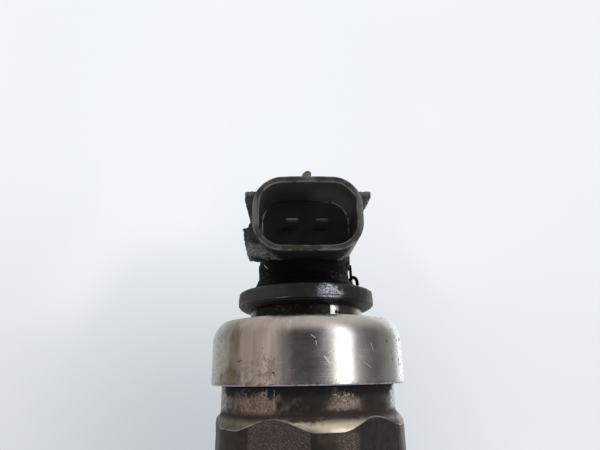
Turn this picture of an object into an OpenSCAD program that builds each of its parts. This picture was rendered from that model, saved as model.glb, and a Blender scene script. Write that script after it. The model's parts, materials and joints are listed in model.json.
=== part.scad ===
// Common-rail diesel fuel injector with a solenoid control valve.
// +Z runs up the injector's axis, from the nozzle tip to the connector. The connector's mouth faces -Y.
// The origin is on the axis, in the plane where the copper washer meets the cylinder head.

/* [Injector head] */
// Height of the solenoid nut's lower edge above the cylinder-head seat
head_z = 150; // [140:1:170]
// Width across the flats of the body's hexagon
hex_af = 27; // [26.5:0.1:27.4]
// Diameter to which the hexagon's corners are turned
hex_turned_d = 28.2; // [28:0.1:28.8]
// Height of the hexagon
hex_h = 15; // [10:0.5:16]
// Diameter of the plain neck below the solenoid nut
body_neck_d = 26.1; // [25.6:0.1:26.4]
// Diameter of the solenoid nut
nut_d = 29.2; // [28.6:0.1:31]
// Height of the solenoid nut
nut_h = 9; // [8.7:0.1:9.5]
// Radius of the solenoid nut's rounded shoulder, which ends in an edge at its top
nut_shoulder_r = 3.9; // [3:0.1:4.4]
// Diameter of the solenoid's steel neck above the nut
solenoid_neck_d = 17.8; // [17.4:0.1:18]
// Outer diameter of the seal under the connector
seal_d = 21.6; // [20:0.1:24]
// Thickness of the seal under the connector
seal_h = 2.8; // [2.2:0.1:3.2]

/* [Connector] */
// Outer width of the connector shell
shell_w = 16.3; // [15.5:0.1:18]
// Outer height of the connector shell
shell_h = 11.6; // [11.2:0.1:13]
// Reach of the connector's mouth in front of the axis
mouth_y = 12; // [11:0.1:16]
// Depth of the connector's socket
socket_depth = 7.8; // [6:0.1:8]
// Wall at the socket's top and sides
shell_wall = 1; // [0.9:0.05:1.3]
// Wall under the socket
shell_floor_wall = 0.85; // [0.8:0.05:1.2]
// Width of a terminal blade
blade_w = 1.9; // [1.5:0.05:2.3]
// Thickness of a terminal blade
blade_t = 0.64; // [0.5:0.02:0.8]
// Distance between the blades' centres
blade_pitch = 4.55; // [4:0.05:5]
// Diameter of the plastic neck below the shell
plastic_neck_d = 15; // [14.6:0.1:15.8]

/* [Nozzle and shank] */
// Diameter of the nozzle that reaches into the combustion chamber
nozzle_d = 7; // [6.8:0.1:7.2]
// Length of the nozzle below the cylinder-head seat
nozzle_reach = 18.5; // [16:0.5:22]
// Outer diameter of the nozzle nut and of the shank above it
shank_d = 18; // [18:0.1:19]
// Thickness of the copper sealing washer
washer_h = 1.5; // [1:0.1:2.5]
// Outer diameter of the copper sealing washer
washer_d = 15; // [14:0.1:16]
// Diameter of the needle's guide in the nozzle
needle_d = 4; // [3.9:0.1:4.1]
// Diameter of the command piston
piston_d = 4.3; // [4.2:0.1:4.4]

/* [Fuel connections] */
// Height of the inlet and return axes above the seat
port_z = 119; // [116:1:121]
// Reach of the inlet union's tip behind the axis
inlet_reach = 42; // [40:0.5:48]
// Major diameter of the inlet union's thread, M14
inlet_thread_d = 14; // [14:0.1:14.2]
// Diameter of the return nipple
return_d = 5; // [4.8:0.1:5.4]
// Reach of the return nipple's tip beside the axis
return_reach = 33; // [30:0.5:40]

/* [Hidden] */
$fn = 96;

// Fits: a running fit slides, a slip fit only goes together
run_fit = 0.02;
slip_fit = 0.05;
// Overlap that makes a cutter pass clean through a face
cut = 0.5;

// Colours
steel = [0.62, 0.62, 0.61];
satin_steel = [0.74, 0.73, 0.71];
dark_steel = [0.33, 0.30, 0.27];
spring_steel = [0.45, 0.46, 0.48];
soft_iron = [0.50, 0.50, 0.50];
copper = [0.78, 0.46, 0.32];
brass = [0.80, 0.68, 0.38];
tin = [0.80, 0.80, 0.76];
rubber_black = [0.09, 0.09, 0.09];
plastic_black = [0.20, 0.20, 0.18];
bobbin_green = [0.30, 0.42, 0.34];

// Nozzle stack, from the seat up
nozzle_flange_z = 10;
nozzle_top_z = 24;
distance_top_z = 29;
nozzle_thread_r = 8;
nozzle_thread_top_z = 39;
stack_r = 7;
nozzle_mid_r = 4.5;
// Lean of the nozzle's fuel passage, which runs in to the gallery
nozzle_drill_tilt = 16;
seat_cone_z = -nozzle_reach + 2.2;
seat_cone_r = 1.25;
sac_r = 0.5;
sac_z = -nozzle_reach + 0.9;
needle_stem_r = 1.2;
gallery_z = 13;
gallery_r = 3.2;
nozzle_bore_r = 1.8;
// How much slimmer the nozzle is inside the washer
nozzle_relief = 0.25;
// Gap at the needle's closed seat
seat_gap = 0.02;

// Pairs of dowels between the plates, each this far round from -X
dowel_r = 0.6;
dowel_turn = 35;

// Drilled passages
fuel_drill_r = 0.75;
fuel_drill_y = 5.6;
leak_drill_r = 0.7;
leak_drill_x = 4.3;
return_drill_r = 0.8;
return_drill_x = 8.4;

// Nozzle spring and command piston
spring_chamber_r = 4;
spring_chamber_top_z = 57;
shim_h = 1.5;
pin_flange_z = 31.5;
pin_flange_h = 2;
pin_flange_r = 3.3;
pin_tail_r = 1.5;
piston_tail_r = 1.6;
nozzle_spring_wire_r = 0.5;
nozzle_spring_mean_r = 2.75;
nozzle_spring_turns = 9;

// Body
shank_top_z = 92;
barrel_r = 12;
clamp_z = 102;
clamp_h = 8;
clamp_af = 19;
hex_top_z = head_z - 5.4;
neck_z = head_z - 3.8;
hex_z = hex_top_z - hex_h;
// Direction of the middle of one flat of the hexagon, counter-clockwise from +X
hex_turn = -109;
body_thread_r = 12.5;
body_top_z = head_z + 4.5;
oring_z = 71.5;
oring_cord_r = 0.9;
oring_groove_r = shank_d / 2 - 1.5;
oring_groove_h = 2.6;

// Control valve, from the piston's bore up
valve_floor_z = head_z - 16;
valve_chamber_r = 7;
plate_h = 2.4;
plate_top_z = valve_floor_z + plate_h;
valve_flange_h = 3;
valve_stem_r = 4;
valve_top_z = head_z - 2.6;
valve_nut_h = 5.4;
valve_drain_x = 5.4;
armature_chamber_z = head_z - 3.6;
armature_chamber_r = 9.5;
stem_r = 1.5;
ball_r = 0.675;
ball_z = plate_top_z + 0.5;
stem_z = ball_z + ball_r;
drop_r = 1.9;
drop_h = 1.8;
armature_r = 7.5;
armature_h = 1.6;
armature_z = head_z - 1.1;
// Seat of the valve spring, in the armature plate's recess
spring_seat_z = armature_z + armature_h - 0.4;
piston_top_z = valve_floor_z - 0.6;

// Solenoid, from the pole face up
nut_shoulder_turn = 50;
pole_z = head_z + 0.6;
stator_r = 8.15;
stator_top_z = head_z + 8.6;
coil_slot_r = [4.2, 6.9];
coil_slot_h = 5.4;
bobbin_wall = 0.6;
spring_bore_r = 2.2;
valve_spring_top_z = head_z + 6.4;
valve_spring_shim_h = 0.8;
vent_r = 0.8;
valve_spring_wire_r = 0.3;
valve_spring_mean_r = 1.55;
valve_spring_turns = 7;
skirt_r = 9.4;
skirt_z = head_z + 0.8;
skirt_groove_z = head_z + 2;
skirt_groove_h = 1.3;
skirt_groove_depth = 0.8;
solenoid_cord_r = 0.44;
shell_flange_r = 12.3;
shell_flange_h = 2.4;
seal_z = head_z + 11;
solenoid_neck_z = seal_z + 1.1;
spigot_r = 6.6;
lead_x = blade_pitch / 2;
lead_r = 0.3;
lead_h = 2.4;
// Where a lead leaves the winding
lead_foot_x = 5.4;

// Connector
base_z = seal_z + seal_h;
foot_h = 2.2;
foot_r = 8.5;
shell_z = head_z + 18.05;
shell_top_z = shell_z + shell_h;
socket_z = shell_z + shell_floor_wall;
socket_h = shell_h - shell_floor_wall - shell_wall;
socket_w = shell_w - 2 * shell_wall;
socket_floor_y = socket_depth - mouth_y;
blade_z = socket_z + socket_h / 2;
blade_tip_y = 3 - mouth_y;
spigot_z = stator_top_z + 1.8;
tail_y = 0;
// How far a blade reaches back from the socket's floor
tail_back = tail_y + blade_t / 2 - socket_floor_y;
shell_top_r = 4.2;
shell_bottom_r = 4.3;
lug_y = 2.2 - mouth_y;
lug_len = 5;
latch_r = 0.65;
latch_y = latch_r + 0.05 - mouth_y;
latch_h = 1;

// Fuel connections
boss_r = 9;
boss_y = 17;
port_thread_r = 6;
port_thread_y = 8;
gasket_h = 1.2;
union_hex_af = 17;
union_hex_h = 6;
union_bore_r = 2;
inlet_cone_r = 4.2;
inlet_cone_h = 5.5;
return_boss_r = 6;
return_boss_x = 15;
return_thread_r = 4;
return_thread_x = 9.8;
return_hex_af = 11;
return_hex_h = 4;
return_bore_r = 1.3;

// ---- shapes that repeat ----

// Solid of revolution about +Z from [radius, z] points
module turned(points) {
    rotate_extrude() polygon(points);
}

// Plain tube or disc standing on z
module tube(r_out, r_in, z, h) {
    translate([0, 0, z]) difference() {
        cylinder(r = r_out, h = h);
        translate([0, 0, -cut]) cylinder(r = r_in, h = h + 2 * cut);
    }
}

// Round rod standing on z at [x, y]
module rod(r, z, h, x = 0, y = 0) {
    translate([x, y, z]) cylinder(r = r, h = h);
}

// Hexagonal bar standing on z with the given width across its flats
module hex_bar(af, z, h) {
    translate([0, 0, z]) cylinder(d = af / cos(30), h = h, $fn = 6);
}

// Hexagonal head whose corners are chamfered at both ends
module hex_head(af, z, h, chamfer = 0.8) {
    corner_r = af / cos(30) / 2;
    intersection() {
        hex_bar(af, z, h);
        turned([
            [0, z], [corner_r - 2 * chamfer, z], [corner_r, z + chamfer],
            [corner_r, z + h - chamfer], [corner_r - 2 * chamfer, z + h], [0, z + h]
        ]);
    }
}

// Ring of round cord about +Z
module cord_ring(mean_r, cord_r, z) {
    translate([0, 0, z]) rotate_extrude() translate([mean_r, 0]) circle(r = cord_r, $fn = 32);
}

// Points of one turn-by-turn helix, which closes up to flat end coils
function spring_z(t, h, wire_r) = wire_r + (h - 2 * wire_r) * t;
function spring_ring(t, mean_r, wire_r, h, turns, sides) = [
    for (i = [0:sides - 1])
        let (a = 360 * i / sides, r = mean_r + wire_r * cos(a), turn = 360 * turns * t)
            [r * cos(turn), r * sin(turn), spring_z(t, h, wire_r) + wire_r * sin(a)]
];

// Compression spring of round wire standing on z
module coil_spring(mean_r, wire_r, z, h, turns, steps_per_turn = 14, sides = 6) {
    steps = turns * steps_per_turn;
    points = [
        for (s = [0:steps])
            each spring_ring(s / steps, mean_r, wire_r, h, turns, sides)
    ];
    walls = [
        for (s = [0:steps - 1], i = [0:sides - 1])
            let (j = (i + 1) % sides, a = s * sides)
                each [
                    [a + i, a + sides + i, a + sides + j],
                    [a + i, a + sides + j, a + j]
                ]
    ];
    start = [for (i = [0:sides - 1]) i];
    end = [for (i = [0:sides - 1]) steps * sides + sides - 1 - i];
    translate([0, 0, z]) polyhedron(points = points, faces = concat(walls, [start, end]));
}

// Lays +Z parts along +Y or +X at the height of the ports
module along_y() {
    translate([0, 0, port_z]) rotate([-90, 0, 0]) children();
}
module along_x() {
    translate([0, 0, port_z]) rotate([0, 90, 0]) children();
}

// ---- body and what is screwed to its outside ----

module body_outside() {
    turned([
        [0, distance_top_z], [nozzle_thread_r - 0.6, distance_top_z],
        [nozzle_thread_r - slip_fit, distance_top_z + 0.6],
        [nozzle_thread_r - slip_fit, nozzle_thread_top_z], [shank_d / 2 - 0.4, nozzle_thread_top_z],
        [shank_d / 2, nozzle_thread_top_z + 0.4], [shank_d / 2, shank_top_z],
        [barrel_r - 1, shank_top_z + 3], [barrel_r, shank_top_z + 4], [barrel_r, hex_z - 1],
        [barrel_r + 0.5, hex_z], [0, hex_z]
    ]);
    shoulder = [
        for (i = [0:6])
            [
                body_neck_d / 2 + (hex_turned_d - body_neck_d) / 2 * cos(15 * i),
                hex_top_z + (neck_z - hex_top_z) * i / 6
            ]
    ];
    intersection() {
        rotate(hex_turn) hex_bar_flat_first();
        turned(concat(
            [[0, hex_z], [hex_turned_d / 2 - 1, hex_z], [hex_turned_d / 2, hex_z + 1]],
            shoulder, [[0, neck_z]]
        ));
    }
    turned([
        [0, neck_z], [body_neck_d / 2, neck_z], [body_neck_d / 2, head_z - 0.15],
        [body_thread_r - slip_fit, head_z - 0.05], [body_thread_r - slip_fit, body_top_z - 0.5],
        [body_thread_r - 0.5, body_top_z], [0, body_top_z]
    ]);
}

// Hexagonal bar turned so that the middle of a flat lies along +X
module hex_bar_flat_first() {
    rotate(30) hex_bar(hex_af, hex_z, neck_z - hex_z);
}

module clamp_flats() {
    for (side = [-1, 1])
        translate([side * (clamp_af / 2 + 5), 0, clamp_z + clamp_h / 2])
            cube([10, 2 * barrel_r + 2, clamp_h], center = true);
}

module injector_body() color(dark_steel) {
    difference() {
        union() {
            body_outside();
            along_y() turned([
                [0, 0], [boss_r, 0], [boss_r, boss_y - 0.8], [boss_r - 0.8, boss_y], [0, boss_y]
            ]);
            along_x() turned([
                [0, 0], [return_boss_r, 0], [return_boss_r, return_boss_x - 0.6],
                [return_boss_r - 0.6, return_boss_x], [0, return_boss_x]
            ]);
        }
        clamp_flats();
        tube(shank_d / 2 + 1, oring_groove_r, oring_z - oring_groove_h / 2, oring_groove_h);
        rod(spring_chamber_r, distance_top_z - cut, spring_chamber_top_z - distance_top_z + cut);
        rod(piston_d / 2, spring_chamber_top_z - cut, valve_floor_z - spring_chamber_top_z + 2 * cut);
        rod(valve_chamber_r, valve_floor_z, body_top_z - valve_floor_z);
        rod(armature_chamber_r, armature_chamber_z, body_top_z - armature_chamber_z + cut);
        rod(fuel_drill_r, distance_top_z - cut, valve_floor_z - distance_top_z + 2 * cut, y = fuel_drill_y);
        rod(leak_drill_r, spring_chamber_top_z - 3, port_z - spring_chamber_top_z + 3, x = leak_drill_x);
        rod(return_drill_r, port_z, armature_chamber_z - port_z + cut, x = return_drill_x);
        along_y() rod(port_thread_r, port_thread_y, boss_y - port_thread_y + cut);
        along_y() rod(fuel_drill_r, fuel_drill_y, port_thread_y - fuel_drill_y + cut);
        along_x() rod(return_thread_r, return_thread_x, return_boss_x - return_thread_x + cut);
        along_x() rod(leak_drill_r, leak_drill_x, return_thread_x - leak_drill_x + cut);
        dowel_holes(distance_top_z, 1.5, 5);
        dowel_holes(valve_floor_z, 1.2, 5.2);
    }
}

// Blind holes for a pair of dowels that stand astride the plane z
module dowel_holes(z, depth, reach) {
    for (side = [-1, 1])
        rotate(side * dowel_turn) rod(dowel_r + run_fit, z - depth, 2 * depth, x = -reach);
}

// The dowels that fit dowel_holes
module dowels(z, depth, reach) {
    for (side = [-1, 1])
        rotate(side * dowel_turn) rod(dowel_r, z - depth + 0.1, 2 * depth - 0.2, x = -reach);
}

module body_oring() color(rubber_black) {
    cord_ring(oring_groove_r + oring_cord_r, oring_cord_r, oring_z);
}

module inlet_gasket() color(copper) along_y() {
    tube(boss_r - 0.9, port_thread_r + 0.15, boss_y, gasket_h);
}

module inlet_union() color(steel) along_y() {
    hex_y = boss_y + gasket_h;
    thread_y = hex_y + union_hex_h;
    difference() {
        union() {
            rod(port_thread_r - slip_fit, port_thread_y + 0.4, hex_y - port_thread_y);
            hex_head(union_hex_af, hex_y, union_hex_h);
            turned([
                [0, thread_y - cut], [inlet_thread_d / 2 - 1.2, thread_y - cut],
                [inlet_thread_d / 2 - 1.2, thread_y + 1.5], [inlet_thread_d / 2, thread_y + 2.7],
                [inlet_thread_d / 2, inlet_reach - 1], [inlet_thread_d / 2 - 1, inlet_reach],
                [0, inlet_reach]
            ]);
        }
        rod(union_bore_r, port_thread_y, inlet_reach - port_thread_y + cut);
        translate([0, 0, inlet_reach - inlet_cone_h])
            cylinder(r1 = union_bore_r - 0.1, r2 = inlet_cone_r, h = inlet_cone_h + 0.01);
    }
}

module edge_filter() color(brass) along_y() {
    filter_y = port_thread_y + 2;
    filter_h = 18;
    difference() {
        rod(union_bore_r - run_fit, filter_y, filter_h);
        for (i = [0:5])
            rotate(60 * i) translate([union_bore_r, 0, filter_y + (i % 2 == 0 ? -cut : 2)])
                cylinder(r = 0.45, h = filter_h - 2 + cut);
    }
}

module return_gasket() color(copper) along_x() {
    tube(return_boss_r - 0.7, return_thread_r + 0.1, return_boss_x, 1);
}

module return_fitting() color(steel) along_x() {
    hex_x = return_boss_x + 1;
    nipple_x = hex_x + return_hex_h;
    difference() {
        union() {
            rod(return_thread_r - slip_fit, return_thread_x + 0.4, hex_x - return_thread_x);
            hex_head(return_hex_af, hex_x, return_hex_h, 0.5);
            turned([
                [0, nipple_x - cut], [return_d / 2, nipple_x - cut], [return_d / 2, return_reach - 3.6],
                [return_d / 2 - 0.5, return_reach - 3.4], [return_d / 2 - 0.5, return_reach - 2.6],
                [return_d / 2, return_reach - 2.4], [return_d / 2, return_reach - 0.5],
                [return_d / 2 - 0.5, return_reach], [0, return_reach]
            ]);
        }
        rod(return_bore_r, return_thread_x, return_reach - return_thread_x + cut);
    }
}

// ---- nozzle ----

module nozzle_nut() color(steel) {
    difference() {
        turned([
            [0, washer_h], [shank_d / 2 - 1.2, washer_h], [shank_d / 2, washer_h + 1.2],
            [shank_d / 2, nozzle_thread_top_z - 0.7], [shank_d / 2 - 0.4, nozzle_thread_top_z - 0.3],
            [0, nozzle_thread_top_z - 0.3]
        ]);
        rod(nozzle_mid_r + 0.1, washer_h - cut, nozzle_flange_z);
        rod(stack_r + 0.15, nozzle_flange_z, nozzle_thread_top_z);
        rod(nozzle_thread_r, distance_top_z - 1, nozzle_thread_top_z);
        for (side = [-1, 1])
            translate([0, side * (shank_d / 2 + 1.4), 32]) cube([shank_d, 4, 8], center = true);
    }
}

module nozzle_washer() color(copper) {
    tube(washer_d / 2, nozzle_d / 2 + 0.2, 0, washer_h);
}

module nozzle_body() color(steel) {
    difference() {
        turned([
            [0, -nozzle_reach], [1.6, -nozzle_reach + 0.4], [nozzle_d / 2 - 0.5, -nozzle_reach + 2.3],
            [nozzle_d / 2, -nozzle_reach + 3.6], [nozzle_d / 2, -0.5],
            [nozzle_d / 2 - nozzle_relief, -0.3], [nozzle_d / 2 - nozzle_relief, washer_h + 0.2],
            [nozzle_mid_r, washer_h + 1.2], [nozzle_mid_r, nozzle_flange_z], [stack_r, nozzle_flange_z],
            [stack_r, nozzle_top_z], [0, nozzle_top_z]
        ]);
        turned([
            [0, sac_z], [sac_r, sac_z + 0.3], [sac_r, seat_cone_z - 0.8], [seat_cone_r, seat_cone_z],
            [nozzle_bore_r, seat_cone_z + 1], [nozzle_bore_r, gallery_z - 1], [gallery_r, gallery_z + 0.4],
            [gallery_r, gallery_z + 1.4], [needle_d / 2, gallery_z + 2.6],
            [needle_d / 2, nozzle_top_z + cut], [0, nozzle_top_z + cut]
        ]);
        translate([0, fuel_drill_y, nozzle_top_z + cut]) rotate([180 - nozzle_drill_tilt, 0, 0])
            cylinder(r = fuel_drill_r, h = nozzle_top_z - gallery_z);
        dowel_holes(nozzle_top_z, 1.5, 5);
    }
}

module nozzle_needle() color(steel) {
    tip_z = seat_cone_z - 0.8 + seat_gap;
    turned([
        [0, tip_z - 0.3], [sac_r - 0.15, tip_z], [seat_cone_r - 0.06, seat_cone_z + seat_gap],
        [needle_stem_r + 0.1, seat_cone_z + 0.6], [needle_stem_r, seat_cone_z + 1.4],
        [needle_stem_r, gallery_z], [needle_d / 2 - run_fit, gallery_z + 1.8],
        [needle_d / 2 - run_fit, nozzle_top_z - 1.2], [pin_tail_r, nozzle_top_z - 0.6],
        [pin_tail_r, nozzle_top_z + 2], [0, nozzle_top_z + 2]
    ]);
}

module distance_piece() color(steel) {
    difference() {
        rod(stack_r, nozzle_top_z, distance_top_z - nozzle_top_z);
        rod(pin_tail_r + 0.1, nozzle_top_z - cut, distance_top_z);
        rod(fuel_drill_r, nozzle_top_z - cut, distance_top_z, y = fuel_drill_y);
        dowel_holes(nozzle_top_z, 1.5, 5);
        dowel_holes(distance_top_z, 1.5, 5);
    }
}

module distance_pins() color(spring_steel) {
    dowels(nozzle_top_z, 1.5, 5);
    dowels(distance_top_z, 1.5, 5);
}

module pressure_pin() color(steel) {
    turned([
        [0, nozzle_top_z + 2], [pin_tail_r, nozzle_top_z + 2], [pin_tail_r, pin_flange_z],
        [pin_flange_r, pin_flange_z], [pin_flange_r, pin_flange_z + pin_flange_h],
        [0, pin_flange_z + pin_flange_h]
    ]);
}

module nozzle_spring() color(spring_steel) {
    spring_z = pin_flange_z + pin_flange_h;
    coil_spring(
        nozzle_spring_mean_r, nozzle_spring_wire_r, spring_z,
        spring_chamber_top_z - shim_h - spring_z, nozzle_spring_turns
    );
}

module nozzle_spring_shim() color(steel) {
    tube(spring_chamber_r - 0.1, piston_d / 2 + 0.1, spring_chamber_top_z - shim_h, shim_h);
}

module command_piston() color(satin_steel) {
    foot_z = pin_flange_z + pin_flange_h;
    piston_r = piston_d / 2 - run_fit;
    turned([
        [0, foot_z], [piston_tail_r, foot_z], [piston_tail_r, spring_chamber_top_z + 4],
        [piston_r, spring_chamber_top_z + 5], [piston_r, piston_top_z - 1],
        [piston_r - 0.8, piston_top_z], [0, piston_top_z]
    ]);
}

// ---- control valve ----

module orifice_plate() color(steel) {
    difference() {
        rod(valve_chamber_r - slip_fit, valve_floor_z, plate_h);
        rod(0.15, valve_floor_z - cut, plate_h + 2 * cut);
        rod(0.9, valve_floor_z - cut, 1.2 + cut);
        translate([0, 0, plate_top_z - 0.7]) cylinder(r1 = 0.15, r2 = 1.05, h = 0.71);
        rod(fuel_drill_r, valve_floor_z - cut, 0.8 + cut, y = fuel_drill_y);
        translate([0, 0, valve_floor_z + 0.5]) rotate([-90, 0, 0]) cylinder(r = 0.12, h = fuel_drill_y);
        dowel_holes(valve_floor_z, 1.2, 5.2);
    }
}

module orifice_pins() color(spring_steel) {
    dowels(valve_floor_z, 1.2, 5.2);
}

module valve_body() color(steel) {
    difference() {
        turned([
            [0, plate_top_z], [valve_chamber_r - slip_fit, plate_top_z],
            [valve_chamber_r - slip_fit, plate_top_z + valve_flange_h],
            [valve_stem_r, plate_top_z + valve_flange_h], [valve_stem_r, valve_top_z], [0, valve_top_z]
        ]);
        rod(stem_r, plate_top_z - cut, valve_top_z);
        rod(drop_r, plate_top_z - cut, drop_h + cut);
        for (i = [0:2])
            rotate(120 * i + 60) rod(0.5, plate_top_z - cut, valve_flange_h + 2 * cut, x = valve_drain_x);
        for (i = [0:2])
            rotate(120 * i + 60) translate([0, 0, plate_top_z + 0.9]) rotate([0, 90, 0])
                cylinder(r = 0.45, h = valve_drain_x);
    }
}

module valve_nut() color(steel) {
    ring_z = plate_top_z + valve_flange_h;
    difference() {
        tube(valve_chamber_r - slip_fit, valve_stem_r + 0.2, ring_z, valve_nut_h);
        for (i = [0:3])
            rotate(90 * i + 45) translate([valve_chamber_r - 1, 0, ring_z + valve_nut_h])
                cube([3, 1.6, 2], center = true);
    }
}

module valve_ball() color(satin_steel) {
    translate([0, 0, ball_z]) sphere(r = ball_r);
}

module armature_stem() color(satin_steel) {
    turned([
        [0, stem_z], [stem_r - 0.5, stem_z], [stem_r - run_fit, stem_z + 1],
        [stem_r - run_fit, spring_seat_z], [0, spring_seat_z]
    ]);
}

module armature_plate() color(soft_iron) {
    difference() {
        rod(armature_r, armature_z, armature_h);
        rod(stem_r - run_fit, armature_z - cut, spring_seat_z - armature_z + cut);
        rod(spring_bore_r, spring_seat_z, 1);
        for (i = [0:3])
            rotate(90 * i + 45) translate([armature_r, 0, armature_z + armature_h / 2])
                cube([5, 1, armature_h + 1], center = true);
    }
}

module valve_spring() color(spring_steel) {
    coil_spring(
        valve_spring_mean_r, valve_spring_wire_r, spring_seat_z, valve_spring_top_z - spring_seat_z,
        valve_spring_turns
    );
}

module valve_spring_shim() color(steel) {
    tube(spring_bore_r - 0.1, vent_r, valve_spring_top_z, valve_spring_shim_h);
}

// ---- solenoid ----

module stator_core() color(soft_iron) {
    difference() {
        rod(stator_r, pole_z, stator_top_z - pole_z);
        tube(coil_slot_r[1], coil_slot_r[0], pole_z - cut, coil_slot_h + cut);
        rod(spring_bore_r, pole_z - cut, valve_spring_top_z + valve_spring_shim_h - pole_z + cut);
        rod(vent_r, pole_z, stator_top_z);
        for (side = [-1, 1])
            rod(lead_r + 0.5, pole_z + coil_slot_h - cut, stator_top_z, x = side * lead_foot_x);
    }
}

module coil_bobbin() color(bobbin_green) {
    inner_r = coil_slot_r[0] + slip_fit;
    outer_r = coil_slot_r[1] - slip_fit;
    low = pole_z + 0.1;
    high = pole_z + coil_slot_h - 0.1;
    difference() {
        turned([
            [inner_r, low], [outer_r, low], [outer_r, low + bobbin_wall],
            [inner_r + bobbin_wall, low + bobbin_wall], [inner_r + bobbin_wall, high - bobbin_wall],
            [outer_r, high - bobbin_wall], [outer_r, high], [inner_r, high]
        ]);
        for (side = [-1, 1])
            rod(lead_r + 0.1, high - bobbin_wall - cut, 2, x = side * lead_foot_x);
    }
}

module coil_winding() color(copper) {
    low = pole_z + 0.1 + bobbin_wall;
    high = pole_z + coil_slot_h - 0.1 - bobbin_wall;
    tube(coil_slot_r[1] - 0.3, coil_slot_r[0] + slip_fit + bobbin_wall, low, high - low);
}

// Each lead rises from the winding, and turns in to its terminal's tail
module coil_leads() color(copper) {
    foot_z = pole_z + coil_slot_h - 0.1 - bobbin_wall;
    bend_z = stator_top_z + 0.6;
    for (side = [-1, 1]) {
        rod(lead_r, foot_z, bend_z - foot_z, x = side * lead_foot_x);
        translate([side * (lead_x + lead_foot_x) / 2, 0, bend_z])
            cube([lead_foot_x - lead_x + 2 * lead_r, 2 * lead_r, 2 * lead_r], center = true);
        rod(lead_r, bend_z, lead_h, x = side * lead_x);
    }
}

module solenoid_shell() color(steel) {
    flange_top_z = body_top_z + shell_flange_h;
    difference() {
        turned([
            [0, skirt_z], [skirt_r, skirt_z], [skirt_r, body_top_z], [shell_flange_r, body_top_z],
            [shell_flange_r, flange_top_z - 0.3], [shell_flange_r - 0.3, flange_top_z],
            [solenoid_neck_d / 2, flange_top_z], [solenoid_neck_d / 2, solenoid_neck_z], [0, solenoid_neck_z]
        ]);
        rod(stator_r + slip_fit, skirt_z - cut, stator_top_z - skirt_z + cut);
        rod(spigot_r + slip_fit, skirt_z, solenoid_neck_z);
        tube(skirt_r + 1, skirt_r - skirt_groove_depth, skirt_groove_z, skirt_groove_h);
    }
}

module solenoid_oring() color(rubber_black) {
    cord_ring(skirt_r - 0.35, solenoid_cord_r, skirt_groove_z + skirt_groove_h / 2);
}

module solenoid_nut() color(satin_steel) {
    top_z = head_z + nut_h;
    shoulder = [
        for (i = [0:6])
            let (a = nut_shoulder_turn * i / 6)
                [
                    nut_d / 2 - nut_shoulder_r * (1 - cos(a)),
                    top_z - nut_shoulder_r * (sin(nut_shoulder_turn) - sin(a))
                ]
    ];
    difference() {
        turned(concat(
            [[0, head_z], [nut_d / 2 - 0.3, head_z], [nut_d / 2, head_z + 0.3]], shoulder, [[0, top_z]]
        ));
        rod(body_thread_r, head_z - cut, body_top_z + shell_flange_h - head_z + cut);
        rod(solenoid_neck_d / 2 + 0.2, head_z, nut_h + cut);
        translate([0, 0, head_z - 0.01]) cylinder(r1 = body_thread_r + 0.4, r2 = body_thread_r, h = 0.4);
    }
}

module flange_seal() color(rubber_black) {
    difference() {
        turned([
            [0, seal_z], [seal_d / 2 - 0.9, seal_z], [seal_d / 2, seal_z + 0.6],
            [seal_d / 2, base_z - 0.3], [seal_d / 2 - 0.3, base_z], [0, base_z]
        ]);
        rod(solenoid_neck_d / 2, seal_z - cut, solenoid_neck_z - seal_z + cut);
        rod(spigot_r + slip_fit, seal_z, seal_h + cut);
    }
}

// ---- connector ----

// Rectangle w by h from z = 0 up, with one radius on its lower corners and another on its upper ones
module rounded_front(w, h, low_r, high_r) {
    difference() {
        translate([-w / 2, 0]) square([w, h]);
        for (side = [-1, 1]) {
            corner_waste(side * w / 2, 0, low_r, -side, 1);
            corner_waste(side * w / 2, h, high_r, -side, -1);
        }
    }
}

// What a radius takes off a square corner at [x, z], where dx and dz point into the solid
module corner_waste(x, z, r, dx, dz) {
    difference() {
        translate([x + dx * r / 2 - dx * cut / 2, z + dz * r / 2 - dz * cut / 2])
            square(r + cut, center = true);
        translate([x + dx * r, z + dz * r]) circle(r = r);
    }
}

// Bar of the rounded front's outline from y0 back to y1
module front_bar(w, h, low_r, high_r, z, y0, y1) {
    translate([0, y1, z]) rotate([90, 0, 0]) linear_extrude(y1 - y0) rounded_front(w, h, low_r, high_r);
}

module shell_outside() {
    back_r = plastic_neck_d / 2;
    front_bar(shell_w, shell_h, shell_bottom_r, shell_top_r, shell_z, -mouth_y, 0);
    intersection() {
        front_bar(2 * back_r, shell_h - 0.3, shell_bottom_r, shell_top_r, shell_z, -1, back_r + 1);
        rod(back_r, shell_z, shell_h);
    }
}

// Guide rib on one side of the shell: side is -1 or 1, and outline is its [out, z] points
module side_rib(side, outline) {
    translate([side * (shell_w / 2 - 0.3), lug_y + lug_len, shell_z]) rotate([90, 0, 0])
        linear_extrude(lug_len) polygon([for (p = outline) [side * p[0], p[1]]]);
}

module connector_ribs() {
    upper_rib = [[-0.8, 10], [2.05, 9.9], [2.05, 8.9], [0, 6.4]];
    left_rib = [[-0.8, 10], [1.7, 9.9], [1.6, 8.8], [0.6, 5], [0, 4.8]];
    low_rib = [[0, 4.4], [1.75, 3.9], [1.7, 2.7], [1, 0.3], [-0.2, 0.1], [-1.2, 1.6]];
    side_rib(1, upper_rib);
    side_rib(-1, left_rib);
    side_rib(-1, low_rib);
}

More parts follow.
